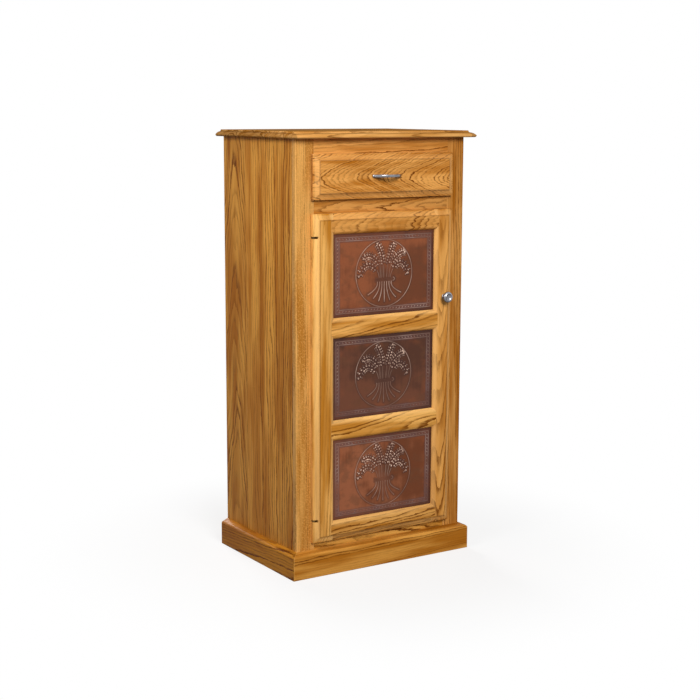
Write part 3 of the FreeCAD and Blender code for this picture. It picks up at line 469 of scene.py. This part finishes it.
# Oak boards: direction of the grain, heart line, ring spacing, taper, seed, sway and tone
UPRIGHT = (Z_AXIS, X_AXIS)
LEVEL = (X_AXIS, -Z_AXIS)
FLAT = (X_AXIS, -Y_AXIS)
DEEP = (Y_AXIS, Z_AXIS)
boards = {
    "drawer_front": (LEVEL, (4, 20), 4.6, -0.28, 1, 0.7, -0.07),
    "frame_top_rail": (LEVEL, (-40, 30), 6.0, 0.03, 2, 0.5, 0.0),
    "frame_middle_rail": (LEVEL, (6, 22), 4.8, -0.06, 3, 0.7, 0.07),
    "frame_bottom_rail": (LEVEL, (12, 40), 6.0, 0.05, 4, 0.6, -0.06),
    "frame_left_stile": (UPRIGHT, (-400, 0), 6.0, 0.01, 5, 0.3, 0.03),
    "frame_right_stile": (UPRIGHT, (-150, 30), 9.0, 0.03, 6, 0.5, 0.09),
    "door_left_stile": (UPRIGHT, (64, 20), 9.0, 0.04, 17, 0.5, -0.15),
    "door_right_stile": (UPRIGHT, (-10, 16), 8.0, -0.09, 8, 0.7, -0.05),
    "door_top_rail": (LEVEL, (10, 22), 5.0, -0.2, 9, 0.7, 0.01),
    "door_upper_rail": (LEVEL, (-20, 16), 6.0, 0.09, 10, 0.7, -0.18),
    "door_lower_rail": (LEVEL, (16, 14), 6.0, -0.08, 11, 0.7, -0.24),
    "door_bottom_rail": (LEVEL, (-30, 30), 6.0, 0.04, 12, 0.5, -0.02),
    "base_front": (LEVEL, (-90, 24), 6.0, 0.015, 13, 0.7, 0.08),
    # base_left is darker than its twin base_right: painted shade.
    "base_left": (DEEP, (-50, 24), 7.0, 0.05, 14, 0.7, 0.26),
    "base_right": ((Y_AXIS, -Z_AXIS), (50, 24), 7.0, 0.05, 15, 0.7, 0.08),
    "left_side": ((Z_AXIS, -Y_AXIS), (-128, 12), 12.0, 0.17, 21, 1.6, 0.02),
    "right_side": ((Z_AXIS, Y_AXIS), (-140, 24), 12.0, 0.14, 22, 1.6, 0.04),
    "top_board": (FLAT, (-120, 50), 9.0, 0.06, 23, 0.8, 0.02),
}

# What sets single boards apart; the widths of moulded edges are in millimetres
STICKING = 11.0
TOP_EDGE = 16.5
USUAL_DEEP = 0.15
# The sides and the lower boards get a deeper, browner hue than the front, most of all base_left: painted
# shade.
special = {
    "frame_left_stile": {"flecks": 0.42, "contrast": 0.6, "wear_and_highlight": 0.6, "yellow": 0.08},
    "frame_bottom_rail": {"contrast": 1.4, "yellow": 0.1, "deep": 0.3},
    "drawer_front": {"wear_and_highlight": 0.25, "ripple": 8.0, "contrast": 1.1, "sparse": 1.2},
    "door_top_rail": {"ripple": 8.0, "sparse": 2.0},
    "door_left_stile": {"contrast": 0.9, "yellow": 0.12, "sticking": (0, STICKING)},
    "door_right_stile": {"contrast": 0.85, "ripple": 5.0, "yellow": 0.03, "sticking": (STICKING, 0)},
    "door_upper_rail": {"ripple": 4.0, "contrast": 1.2, "yellow": 0.1, "sticking": (STICKING, 0)},
    "door_lower_rail": {"ripple": 4.0, "contrast": 1.2, "yellow": 0.14, "sticking": (STICKING, 0)},
    "door_bottom_rail": {"yellow": 0.08, "sticking": (STICKING, 0)},
    "base_front": {"wear_and_highlight": 0.2, "deep": 0.35, "sparse": 4.0},
    "base_left": {"contrast": 1.2, "wear_and_highlight": 0.2, "yellow": -0.15, "deep": 0.68, "sparse": 3.0},
    "base_right": {"contrast": 1.2, "deep": 0.45},
    "left_side": {
        "strips": ((-66, -460, 0, -0.05, 0.012, 0.8), (118, -300, 0, 0.01, -0.015, 1.15)),
        "yellow": -0.02, "deep": 0.4, "sparse": 2.4,
    },
    "right_side": {
        "strips": ((-90, 420, 0, 0.0, 0.012, 0.8), (70, 400, 0, 0.05, -0.015, 1.1)),
        "yellow": -0.02, "deep": 0.4, "sparse": 2.4,
    },
    # The top board's yellow lift is a painted highlight on its front edge, and its darker top face is painted
    # shade.
    "top_board": {
        "strips": ((-80, -10, 160, 0.03, 0.05, 0.9), (70, 140, 40, -0.12, 0.06, 0.7)),
        "yellow": 0.13, "deep": 0.0, "sheen": 0.0, "end_grain": TOP_EDGE, "upper": 0.4,
    },
}
door_front = (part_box("door_left_stile")[0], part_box("door_right_stile")[1])
lips = {"drawer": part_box("drawer_front"), "door": door_front}
ROUNDED = 0.9
less_rounded = {"frame_middle_rail": 0.4, "top_board": 0.14}
for node, (grain, heart, spacing, taper, seed, sway, tone) in boards.items():
    more = {"deep": USUAL_DEEP, "lip": lips.get(bodies[node]), **special.get(node, {})}
    oak = wood("oak_" + node, node, grain, heart, spacing, taper, seed, sway, tone, **more)
    fit(eased(node, less_rounded.get(node, ROUNDED)), node, oak)

# Inside boards: direction of the grain, heart line, ring spacing, taper, seed and palette
INSIDE_ROUNDED = 0.5
INSIDE_GLOSS = 0.5
inside_boards = {
    "bottom_board": (FLAT, (20, 80), 7.0, 0.05, 31, SEALED),
    "shelf_upper": (FLAT, (-60, 60), 7.0, 0.06, 32, SEALED),
    "shelf_middle": (FLAT, (40, 50), 7.0, 0.06, 33, SEALED),
    "shelf_lower": (FLAT, (-10, 70), 7.0, 0.06, 34, SEALED),
    "slide_block_left": (DEEP, (10, 40), 6.0, 0.05, 35, SEALED),
    "slide_block_right": (DEEP, (-10, 40), 6.0, 0.05, 36, SEALED),
    "top_cleats": (DEEP, (0, 60), 6.0, 0.03, 37, SEALED),
    "base_back_rail": (LEVEL, (20, 40), 6.0, 0.06, 38, SEALED),
    "base_glue_blocks": (UPRIGHT, (10, 30), 6.0, 0.06, 39, SEALED),
    "back_panel": (UPRIGHT, (60, 700), 11.0, 0.05, 41, SEALED),
    "drawer_bottom": ((Y_AXIS, X_AXIS), (30, 500), 10.0, 0.05, 42, SEALED),
    "drawer_box_front": (LEVEL, (10, 60), 5.0, 0.06, 43, MAPLE),
    "drawer_box_back": (LEVEL, (-14, 60), 5.0, 0.06, 44, MAPLE),
    "drawer_left_side": (DEEP, (12, 60), 5.0, 0.05, 45, MAPLE),
    "drawer_right_side": (DEEP, (-12, 60), 5.0, 0.05, 46, MAPLE),
}
calmer = {"back_panel": 0.6, "drawer_bottom": 0.5}
for node, (grain, heart, spacing, taper, seed, palette) in inside_boards.items():
    more = {"palette": palette, "gloss": INSIDE_GLOSS, "contrast": calmer.get(node, 1.0)}
    plain_wood = wood("wood_" + node, node, grain, heart, spacing, taper, seed, **more)
    fit(eased(node, INSIDE_ROUNDED), node, plain_wood)

# The stops behind the copper meet end to end, so their edges stay sharp
more = {"gloss": INSIDE_GLOSS, "contrast": 0.35}
stop_wood = wood("oak_panel_stops", "panel_stops", UPRIGHT, (20, 60), 5.0, 0.03, 40, **more)
stops = frame["nodes"]["panel_stops"]
stops.data.materials.clear()
stops.data.materials.append(stop_wood)

# Copper panels: roped border, ring and wheat sheaf, worked up from the back of the sheet
COPPER_GREY = colour(104, 76, 76)
COPPER_DARK = colour(54, 32, 28)
COPPER_HIGHLIGHT = colour(236, 200, 178)
COPPER_BROWN = colour(92, 58, 36)
COPPER_GLOW = colour(150, 78, 40)
SIGHT_HALF = (
    (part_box("door_right_stile")[0].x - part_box("door_left_stile")[1].x) / 2 / MM,
    (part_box("door_upper_rail")[0].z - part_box("door_lower_rail")[1].z) / 2 / MM,
)
SHEET_THICKNESS = 0.7
RELIEF = 0.88
FRONT_CELLS = (340, 238)
BACK_CELLS = (110, 77)
BACK_RELIEF = 0.6
BACK_SPREAD = 1.7
PATINA_SHADE_SPREAD = 2.0
WAVE = 0.07
WAVE_MARGIN = 30
DEEPEST = 0.3

# Each kind of ridge has a spread in millimetres, a share of the relief and a share of the rubbed
# brightness with painted highlight
BORDER_LINE = (1.1, 0.6, 0.6)
ROPE_DASH = (2.2, 0.8, 0.62)
RING_LINE = (1.2, 0.75, 0.58)
STEM = (1.35, 0.85, 0.62)
BAND = (1.3, 0.7, 0.32)
KNOT = (1.8, 0.9, 0.5)
STRAW = (1.2, 0.6, 0.35)
STALK = (1.2, 0.7, 0.45)
SPINE = (0.8, 0.4, 0.25)

# The ornament of a panel: places in millimetres from its middle, sizes in millimetres, leans in radians
ROPE_INSET = 15.0
ROPE_HALF = 4.8
ROPE_PITCH = 10.5
RING_RADIUS = 94.0
STEM_FEET = ((-54, -58), (-36, -69), (-18, -77), (1, -80), (20, -77), (39, -69), (57, -57))
STEM_TOP = -24
STEM_STEPS = 10
WAIST = 0.42
BAND_LIFTS = (-22, -18, -14)
BAND_HALF = 28
BAND_SAG = 2.5
BAND_TOP = -12
KNOT_BEND = ((30, -22), (35, -18), (31, -13))
STRAWS = (-15, -8, 1, 12, 17)
STRAW_MIDDLE = 4
STRAW_TOP = 22
EARS = (
    ((-4, 23), (-10, 55), (-24, 83)), ((11, 23), (21, 54), (31, 82)), ((-15, 23), (-43, 48), (-69, 43)),
    ((23, 25), (46, 49), (69, 57)), ((-24, 9), (-57, 24), (-84, -5)), ((29, 10), (57, 27), (81, -3)),
)
GRAIN_PAIRS = 8
GRAIN = (6.8, 4.5)
GRAIN_OFFSET = 4.2
GRAIN_LEAN = 0.5
AWN = (6.6, 2.8)
AWN_OFFSET = 9.8
AWN_LEAN = 0.8
TIP_GRAIN = (7.4, 4.6)


def aged_copper(node, light, dark, rubbed, slope, seed):
    """Darkened copper: lighter to one side as painted light, greyer along the rope, darker along its edges as
    painted shade, dark next to the relief as patina and painted shade, and bright where it stands proud,
    as rubbed copper and as a painted highlight.

    Rubbed is how bright the rubbed and highlighted parts of the lower half are, compared with the top half.
    Slope is how fast the sheet darkens to the right and upwards; darkening to the right is painted shade.
    """
    finish = Finish("aged_" + node)
    low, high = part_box(node)
    spot = finish.millimetres((low + high) / 2)
    x, z = finish.parts(spot)[::2]
    shift = (seed * 2.3, seed * 1.1, seed * 3.7)

    def field(width, height, detail):
        """Noise with patches of the given width and height."""
        return finish.noise(finish.stretched(spot, (1 / width, 1, 1 / height), shift), detail)

    inset = finish.maths("MINIMUM", SIGHT_HALF[0] - abs(x), SIGHT_HALF[1] - abs(z))
    roped = 1 - finish.rise(abs(inset - ROPE_INSET), 5, 11)
    edge = 1 - finish.rise(inset, 2, 13)
    smear = finish.rise(field(46, 46, 3.0), 0.46, 0.6)
    glow = (1 - finish.rise(inset, 20, 46)) * finish.rise(field(60, 40, 3.0), 0.46, 0.64)
    blotch = finish.rise(field(34, 26, 4.0), 0.5, 0.68)
    fleck = field(2.2, 2.2, 2.0) - 0.5
    rubbed_highlight = finish.mark("rubbed_highlight")
    # The slope darkens the sheet to the right as painted shade, and up or down.
    patch = field(80, 70, 4.0) + (field(7, 90, 2.0) - 0.5) * 0.2 + x * slope[0] + z * slope[1]
    shade = finish.mix(finish.rise(patch, 0.34, 0.66), light, dark)
    shade = finish.mix(blotch * 0.4, shade, COPPER_BROWN)
    shade = finish.mix(glow * 0.3, shade, COPPER_GLOW)
    shade = finish.mix(roped * (smear * 0.35 + 0.3), shade, COPPER_GREY)
    # Painted shade: the sheet is darker along its edges, by the frame.
    shade = finish.mix(edge * 0.6, shade, COPPER_DARK)
    # Patina and painted shade next to the relief, with dark flecks.
    shade = finish.mix(finish.mark("patina_and_shade") * (1 - rubbed_highlight) + fleck * 0.25, shade, COPPER_DARK)
    # Rubbed brightness and painted highlight where the relief stands proud, less in the lower half.
    polish_and_highlight = finish.rise(rubbed_highlight, 0.2, 0.95) * (smear * 0.5 + 0.5) * (1 - roped * 0.4)
    polish_and_highlight = polish_and_highlight * (finish.rise(z, -30, 5) * (1 - rubbed) + rubbed)
    return finish.dress(
        Base_Color=finish.mix(polish_and_highlight, shade, COPPER_HIGHLIGHT),
        Metallic=0.7,
        Roughness=0.46 - polish_and_highlight * 0.14 + fleck * 0.1,
        Normal=finish.bump(fleck, 0.05, 0.4),
    )


class Relief:
    """Heights and rubbed brightness, with painted highlight, of a sheet's ornament. Grow widens every ridge.
    """

    def __init__(self, spots, grow):
        self.spots = spots
        self.grow = grow
        self.height = np.zeros(len(spots))
        self.rubbed_highlight = np.zeros(len(spots))

    def add(self, profile, height, rubbed_highlight):
        self.height = np.maximum(self.height, profile * height)
        self.rubbed_highlight = np.maximum(self.rubbed_highlight, profile * rubbed_highlight)

    def ridge(self, distance, spread, height, rubbed_highlight, share=1.0):
        """A rounded ridge, highest where the distance is 0."""
        self.add(np.exp(-0.5 * (distance / (spread * self.grow)) ** 2) * share, height, rubbed_highlight)

    def line(self, path, spread, height, rubbed_highlight):
        """A ridge along a path."""
        nearest = np.full(len(self.spots), np.inf)
        for start, end in zip(path[:-1], path[1:]):
            run = end - start
            share = np.clip((self.spots - start) @ run / (run @ run), 0, 1)
            offset = self.spots - start - share[:, None] * run
            nearest = np.minimum(nearest, np.hypot(offset[:, 0], offset[:, 1]))
        self.ridge(nearest, spread, height, rubbed_highlight)

    def grain(self, place, angle, length, width, height, rubbed_highlight):
        """One grain of wheat, a rounded oval."""
        offset = self.spots - place
        ahead = offset[:, 0] * math.cos(angle) + offset[:, 1] * math.sin(angle)
        aside = offset[:, 1] * math.cos(angle) - offset[:, 0] * math.sin(angle)
        inside = 1 - (2 * ahead / (length * self.grow)) ** 2 - (2 * aside / (width * self.grow)) ** 2
        self.add(np.sqrt(np.clip(inside, 0, 1)), height, rubbed_highlight)


def work_border(relief):
    """Two fine lines with a twist of dashes between them."""
    x, z = relief.spots[:, 0], relief.spots[:, 1]
    over_x = np.abs(x) - SIGHT_HALF[0] + ROPE_INSET
    over_z = np.abs(z) - SIGHT_HALF[1] + ROPE_INSET
    away = np.maximum(over_x, over_z)
    along = np.where(over_x > over_z, z, x)
    twist = np.clip(np.cos(2 * math.pi * (along + 0.8 * away) / ROPE_PITCH) * 1.4, 0, 1)
    relief.ridge(np.abs(away) - ROPE_HALF, *BORDER_LINE)
    relief.ridge(away, *ROPE_DASH, twist)


def work_sheaf(relief):
    """Stems that spread below the band, the band with its knot, and straws above it."""
    for foot, drop in STEM_FEET:
        neck = foot * WAIST
        bend = ((neck, STEM_TOP), (neck * 1.25, (STEM_TOP + drop) / 2), (foot, drop))
        relief.line(bent_line(*bend, STEM_STEPS), *STEM)
    for lift in BAND_LIFTS:
        relief.line(bent_line((-BAND_HALF, lift), (0, lift - BAND_SAG), (BAND_HALF, lift)), *BAND)
    relief.line(bent_line(*KNOT_BEND), *KNOT)
    for reach in STRAWS:
        straw = bent_line((reach * 0.9, BAND_TOP), (reach, STRAW_MIDDLE), (reach * 1.3, STRAW_TOP))
        relief.line(straw, *STRAW)


def work_ear(relief, number, start, middle, end):
    """Two rows of grains on a bent spine, rubbed and highlighted, each grain with a short awn outside it."""
    reach, lift = start
    stalk = bent_line((reach * 0.7, BAND_TOP), (reach * 0.8, (BAND_TOP + lift) / 2), start)
    relief.line(stalk, *STALK)
    spine = bent_line(start, middle, end, 2 * GRAIN_PAIRS)
    relief.line(spine, *SPINE)
    for step in range(1, len(spine)):
        run = spine[step] - spine[step - 1]
        angle = math.atan2(run[1], run[0])
        side = 1 if step % 2 else -1
        aside = side * np.array((-math.sin(angle), math.cos(angle)))
        # Each grain's share of rubbed brightness and painted highlight, uneven from grain to grain.
        rubbed = 0.5 + 0.05 * ((step * 7 + number * 5) % 11)
        relief.grain(spine[step] + GRAIN_OFFSET * aside, angle + side * GRAIN_LEAN, *GRAIN, 1.0, rubbed)
        relief.grain(spine[step] + AWN_OFFSET * aside, angle + side * AWN_LEAN, *AWN, 0.7, rubbed * 0.85)
    relief.grain(spine[-1], angle, *TIP_GRAIN, 1.0, 1.0)


def worked_relief(spots, grow):
    """All the ornament of a panel."""
    relief = Relief(spots, grow)
    work_border(relief)
    relief.ridge(np.hypot(spots[:, 0], spots[:, 1]) - RING_RADIUS, *RING_LINE)
    work_sheaf(relief)
    for number, ear in enumerate(EARS):
        work_ear(relief, number, *ear)
    return relief


def sheet_face(name, cells, middle_z, half, surface, share, grow):
    """One face of the sheet: a grid that follows the relief. Its points carry what is rubbed bright with a
    painted highlight, and the patina and painted shade next to the relief.

    Share is how much of the relief the face shows.
    """
    choose()
    bpy.ops.mesh.primitive_grid_add(x_subdivisions=cells[0], y_subdivisions=cells[1], size=2)
    face = bpy.context.object
    face.name = name
    flat = np.zeros(len(face.data.vertices) * 3)
    face.data.vertices.foreach_get("co", flat)
    spots = flat.reshape(-1, 3)[:, :2] * half
    x, z = spots[:, 0], spots[:, 1]
    relief = worked_relief(spots, grow)
    # Patina and painted shade: the same ornament, widened, darkens what lies next to it.
    patina_and_shade = np.clip(worked_relief(spots, PATINA_SHADE_SPREAD * grow).height, 0, 1)
    calm = np.prod(np.clip((SIGHT_HALF - np.abs(spots)) / WAVE_MARGIN, 0, 1), axis=1)
    wave = WAVE * calm * (np.sin(x / 17 + z / 29) + np.sin(z / 13 - x / 37))
    lift = RELIEF * share * relief.height + wave * (1 - relief.height)
    placed = np.stack((x, surface - np.clip(lift, -DEEPEST, RELIEF), z + middle_z), 1) * MM
    face.data.vertices.foreach_set("co", placed.ravel())
    for mark, values in (("rubbed_highlight", relief.rubbed_highlight * share), ("patina_and_shade", patina_and_shade * share)):
        attribute = face.data.attributes.new(mark, "FLOAT", "POINT")
        attribute.data.foreach_set("value", values.astype(np.float32))
    return face


def worked_sheet(node):
    """A copper sheet the size of the node, with the ornament raised on its front and hollow behind."""
    low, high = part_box(node)
    middle_z = (low.z + high.z) / 2 / MM
    half = np.array((high.x - low.x, high.z - low.z)) / 2 / MM
    rear = high.y / MM
    name = "worked_" + node
    back = sheet_face(name + "_back", BACK_CELLS, middle_z, half, rear, BACK_RELIEF, BACK_SPREAD)
    front = sheet_face(name, FRONT_CELLS, middle_z, half, rear - SHEET_THICKNESS, 1.0, 1.0)
    choose(back, front)
    bpy.ops.object.join()
    bpy.ops.object.mode_set(mode="EDIT")
    bpy.ops.mesh.select_mode(type="EDGE")
    bpy.ops.mesh.select_all(action="DESELECT")
    bpy.ops.mesh.select_non_manifold(
        use_wire=False, use_multi_face=False, use_non_contiguous=False, use_verts=False,
    )
    bpy.ops.mesh.bridge_edge_loops()
    bpy.ops.mesh.select_all(action="SELECT")
    bpy.ops.mesh.normals_make_consistent(inside=False)
    bpy.ops.object.mode_set(mode="OBJECT")
    bpy.ops.object.shade_smooth_by_angle(angle=math.radians(60))
    return front


# Panels: light tone, dark tone, rubbed, slope and seed; rubbed scales the lower half's rubbed brightness
# and painted highlight, and slope darkens each sheet, to the right as painted shade
panels = {
    "copper_panel_top": (colour(139, 77, 45), colour(106, 57, 32), 1.0, (0.0010, -0.0016), 1),
    "copper_panel_middle": (colour(104, 60, 40), colour(79, 45, 30), 0.4, (0.0006, 0.0020), 2),
    "copper_panel_bottom": (colour(143, 83, 52), colour(104, 53, 24), 0.4, (0.0012, 0.0004), 3),
}
for node, tones in panels.items():
    fit(worked_sheet(node), node, aged_copper(node, *tones))

# Knob: the bends of its outline give radius and height, from the foot to the dish
# The knob and pull are painted darker as shade where they face down.
NICKEL = plate("satin_nickel", colour(156, 156, 161), colour(104, 103, 107), 0.2, underside_shade=0.8)
KNOB_FOOT = (8.5, 0)
KNOB_BENDS = (
    ((8.5, 1.4), (8.2, 2.1), (7.2, 2.5)), ((7.2, 2.5), (6.2, 6.2), (8.4, 10.6)),
    ((8.4, 10.6), (13.8, 13.4), (16, 16.8)), ((16, 16.8), (14.5, 21.4), (10.6, 24)),
    ((10.6, 24), (8.8, 22.2), (6.6, 20.9)), ((6.6, 20.9), (4, 20.4), (1, 20.3)),
)
KNOB_STEPS = 5
KNOB_SIDES = 48


def turned_knob(node):
    """The knob, turned on the lathe and set on the front of the door."""
    low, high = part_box(node)
    rings = [KNOB_FOOT, KNOB_BENDS[0][0]]
    for bend in KNOB_BENDS:
        rings.extend(bent_line(*bend, KNOB_STEPS)[1:])
    knob = turned("turned_knob", rings, KNOB_SIDES)
    outwards = (-Y_AXIS).to_track_quat("Z", "Y").to_matrix().to_4x4()
    seat = Vector(((low.x + high.x) / 2, high.y, (low.z + high.z) / 2))
    knob.data.transform(Matrix.Translation(seat) @ outwards)
    return knob


fit(turned_knob("door_knob"), "door_knob", NICKEL)

# Pull: the inner arc's half span and rise
PULL_INNER = (32.0, 20.5)
PULL_STEPS = 36
PULL_ROUNDED = 3.0
PULL_SEGMENTS = 5
PULL_SHARP_FROM = 50


def bowed(half_span, rise, share):
    """A point of an arc that spans twice half_span and rises by rise, in millimetres."""
    radius = (half_span ** 2 + rise ** 2) / (2 * rise)
    reach = math.asin(min(1, half_span / radius)) * (2 * share - 1)
    return radius * math.sin(reach), radius * math.cos(reach) - radius + rise


def bow_pull(node):
    """The pull, a bow between two arcs with its edges well rounded."""
    low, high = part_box(node)
    outer = ((high.x - low.x) / 2 / MM, (high.y - low.y) / MM)
    choose()
    bpy.ops.mesh.primitive_grid_add(x_subdivisions=PULL_STEPS, y_subdivisions=1, size=2)
    piece = bpy.context.object
    piece.name = "bow_pull"
    for vertex in piece.data.vertices:
        span, rise = outer if vertex.co.y > 0 else PULL_INNER
        across, out = bowed(span, rise, (vertex.co.x + 1) / 2)
        vertex.co = (across * MM, high.y - out * MM, low.z)
    bpy.ops.object.mode_set(mode="EDIT")
    bpy.ops.mesh.select_all(action="SELECT")
    bpy.ops.mesh.extrude_region_move(TRANSFORM_OT_translate={"value": (0, 0, high.z - low.z)})
    bpy.ops.mesh.select_all(action="SELECT")
    bpy.ops.mesh.normals_make_consistent(inside=False)
    bpy.ops.object.mode_set(mode="OBJECT")
    round_over(piece, PULL_ROUNDED, PULL_SEGMENTS, PULL_SHARP_FROM, PULL_SHARP_FROM)
    return piece


fit(bow_pull("drawer_pull"), "drawer_pull", NICKEL)

# Hinges, slides, catch and pads
ZINC = plate("zinc_plate", colour(176, 178, 180), colour(140, 142, 146), 0.34)
BRASS = plate("antique_brass", colour(112, 88, 52), colour(60, 46, 30), 0.34)
IRON = plate("ground_magnet", colour(92, 92, 95), colour(66, 66, 68), 0.45)
PLASTIC = moulded("brown_plastic", colour(96, 66, 40), 0.42)
RUBBER = moulded("clear_pad", colour(206, 206, 200), 0.5)
FITTING_ROUNDED = 0.25
SCREW_ROUNDED = 0.3
SCREW_SMOOTH = 50
fittings = {
    "hinge_case_leaf_upper": BRASS,
    "hinge_case_leaf_lower": BRASS,
    "hinge_door_leaf_upper": BRASS,
    "hinge_door_leaf_lower": BRASS,
    "hinge_pins": BRASS,
    "catch_body": PLASTIC,
    "catch_magnet": IRON,
    "catch_strike": ZINC,
    "slide_case_channels": ZINC,
    "slide_middle_channels": ZINC,
    "slide_drawer_channels": ZINC,
    "slide_outer_cages": IRON,
    "slide_inner_cages": IRON,
}
for node, finish in fittings.items():
    fit(eased(node, FITTING_ROUNDED), node, finish)
screws_and_pads = {
    "case_screws": ZINC,
    "door_screws": ZINC,
    "drawer_screws": ZINC,
    "door_pads": RUBBER,
    "drawer_pads": RUBBER,
}
for node, finish in screws_and_pads.items():
    fit(eased(node, SCREW_ROUNDED, SCREW_SMOOTH), node, finish)

# Studio: light, floor and camera, in metres and watts
WHITE = (1, 1, 1, 1)
FILL_LIGHT = 0.13
FLOOR_RADIUS = 9.0
FLOOR_PALE = (0.96, 0.96, 0.96, 1)
FLOOR_BOUNCE = (0.22, 0.22, 0.22, 1)
SHADOW_SHARE = 0.25
SHADOW_REACH = (0.4, 1.0)


def seen_directly(finish):
    """1 for what the camera sees, also through gloss and glass, and 0 for the light that falls on things."""
    seen = finish.node("ShaderNodeLightPath", output="Is Camera Ray")
    for kind in ("Is Glossy Ray", "Is Transmission Ray"):
        seen = finish.maths("MAXIMUM", seen, finish.node("ShaderNodeLightPath", output=kind))
    return seen


def lamp(name, place, target, size, power):
    """A square soft lamp that points at a target."""
    light = bpy.data.lights.new(name, "AREA")
    light.shape = "SQUARE"
    light.size = size
    light.energy = power
    holder = bpy.data.objects.new(name, light)
    bpy.context.scene.collection.objects.link(holder)
    holder.location = place
    holder.rotation_euler = (Vector(target) - Vector(place)).to_track_quat("-Z", "Y").to_euler()


def white_floor():
    """A floor that looks white from far off, with the shadow of the cupboard round its foot."""
    ground = Finish("studio_floor")
    away = ground.node("ShaderNodeVectorMath", {"operation": "LENGTH"}, {0: ground.place()}, "Value")
    seen = seen_directly(ground)
    white = ground.node("ShaderNodeEmission", sockets={"Color": WHITE})
    share = (ground.rise(away, *SHADOW_REACH) * SHADOW_SHARE + (1 - SHADOW_SHARE)) * seen
    lit = Wire(ground, ground.shader.outputs[0])
    ground.dress(
        Base_Color=ground.mix(seen, FLOOR_BOUNCE, FLOOR_PALE), Roughness=0.9, Specular_IOR_Level=0.0,
    )
    blend = ground.node("ShaderNodeMixShader", sockets={0: share, 1: lit, 2: white})
    ground.feed(ground.tree.nodes["Material Output"].inputs["Surface"], blend)
    return ground.made


studio = Finish("studio", bpy.data.worlds.new("studio"), "Background")
bpy.context.scene.world = studio.made
studio.dress(Color=WHITE, Strength=seen_directly(studio) * (1 - FILL_LIGHT) + FILL_LIGHT)
lamp("key_lamp", (-1.35, -6.4, 4.4), (0, 0, 0.7), 3.0, 421)
lamp("side_lamp", (-1.6, -0.55, 1.75), (0, 0, 1.0), 0.6, 14)
lamp("rear_lamp", (0.5, 5.0, 2.6), (0, 0, 0.6), 1.6, 150)

choose()
bpy.ops.mesh.primitive_circle_add(vertices=96, radius=FLOOR_RADIUS, fill_type="NGON", location=(0, 0, 0))
floor = bpy.context.object
floor.name = "studio_floor"
floor.data.materials.append(white_floor())

# The camera's place in metres, its angles in degrees, and its focal length in pixels of the picture
CAMERA_PLACE = Vector((-2.2454, -3.5007, 1.2921))
CAMERA_TURN = -32.794
CAMERA_PITCH = 9.506
CAMERA_ROLL = 0.202
FOCAL_PIXELS = 1441.76
PICTURE_PIXELS = 700
SENSOR_WIDTH = 36
turn, pitch, roll = (math.radians(angle) for angle in (CAMERA_TURN, CAMERA_PITCH, CAMERA_ROLL))
ahead = Vector((-math.sin(turn) * math.cos(pitch), math.cos(turn) * math.cos(pitch), -math.sin(pitch)))
level = Vector((math.cos(turn), math.sin(turn), 0))
upright = level.cross(ahead)
right = math.cos(roll) * level + math.sin(roll) * upright
up = math.cos(roll) * upright - math.sin(roll) * level
camera = bpy.data.objects.new("camera", bpy.data.cameras.new("camera"))
bpy.context.scene.collection.objects.link(camera)
camera.data.sensor_width = SENSOR_WIDTH
camera.data.lens = SENSOR_WIDTH * FOCAL_PIXELS / PICTURE_PIXELS
camera.matrix_world = Matrix.Translation(CAMERA_PLACE) @ Matrix((right, up, -ahead)).transposed().to_4x4()
bpy.context.scene.camera = camera
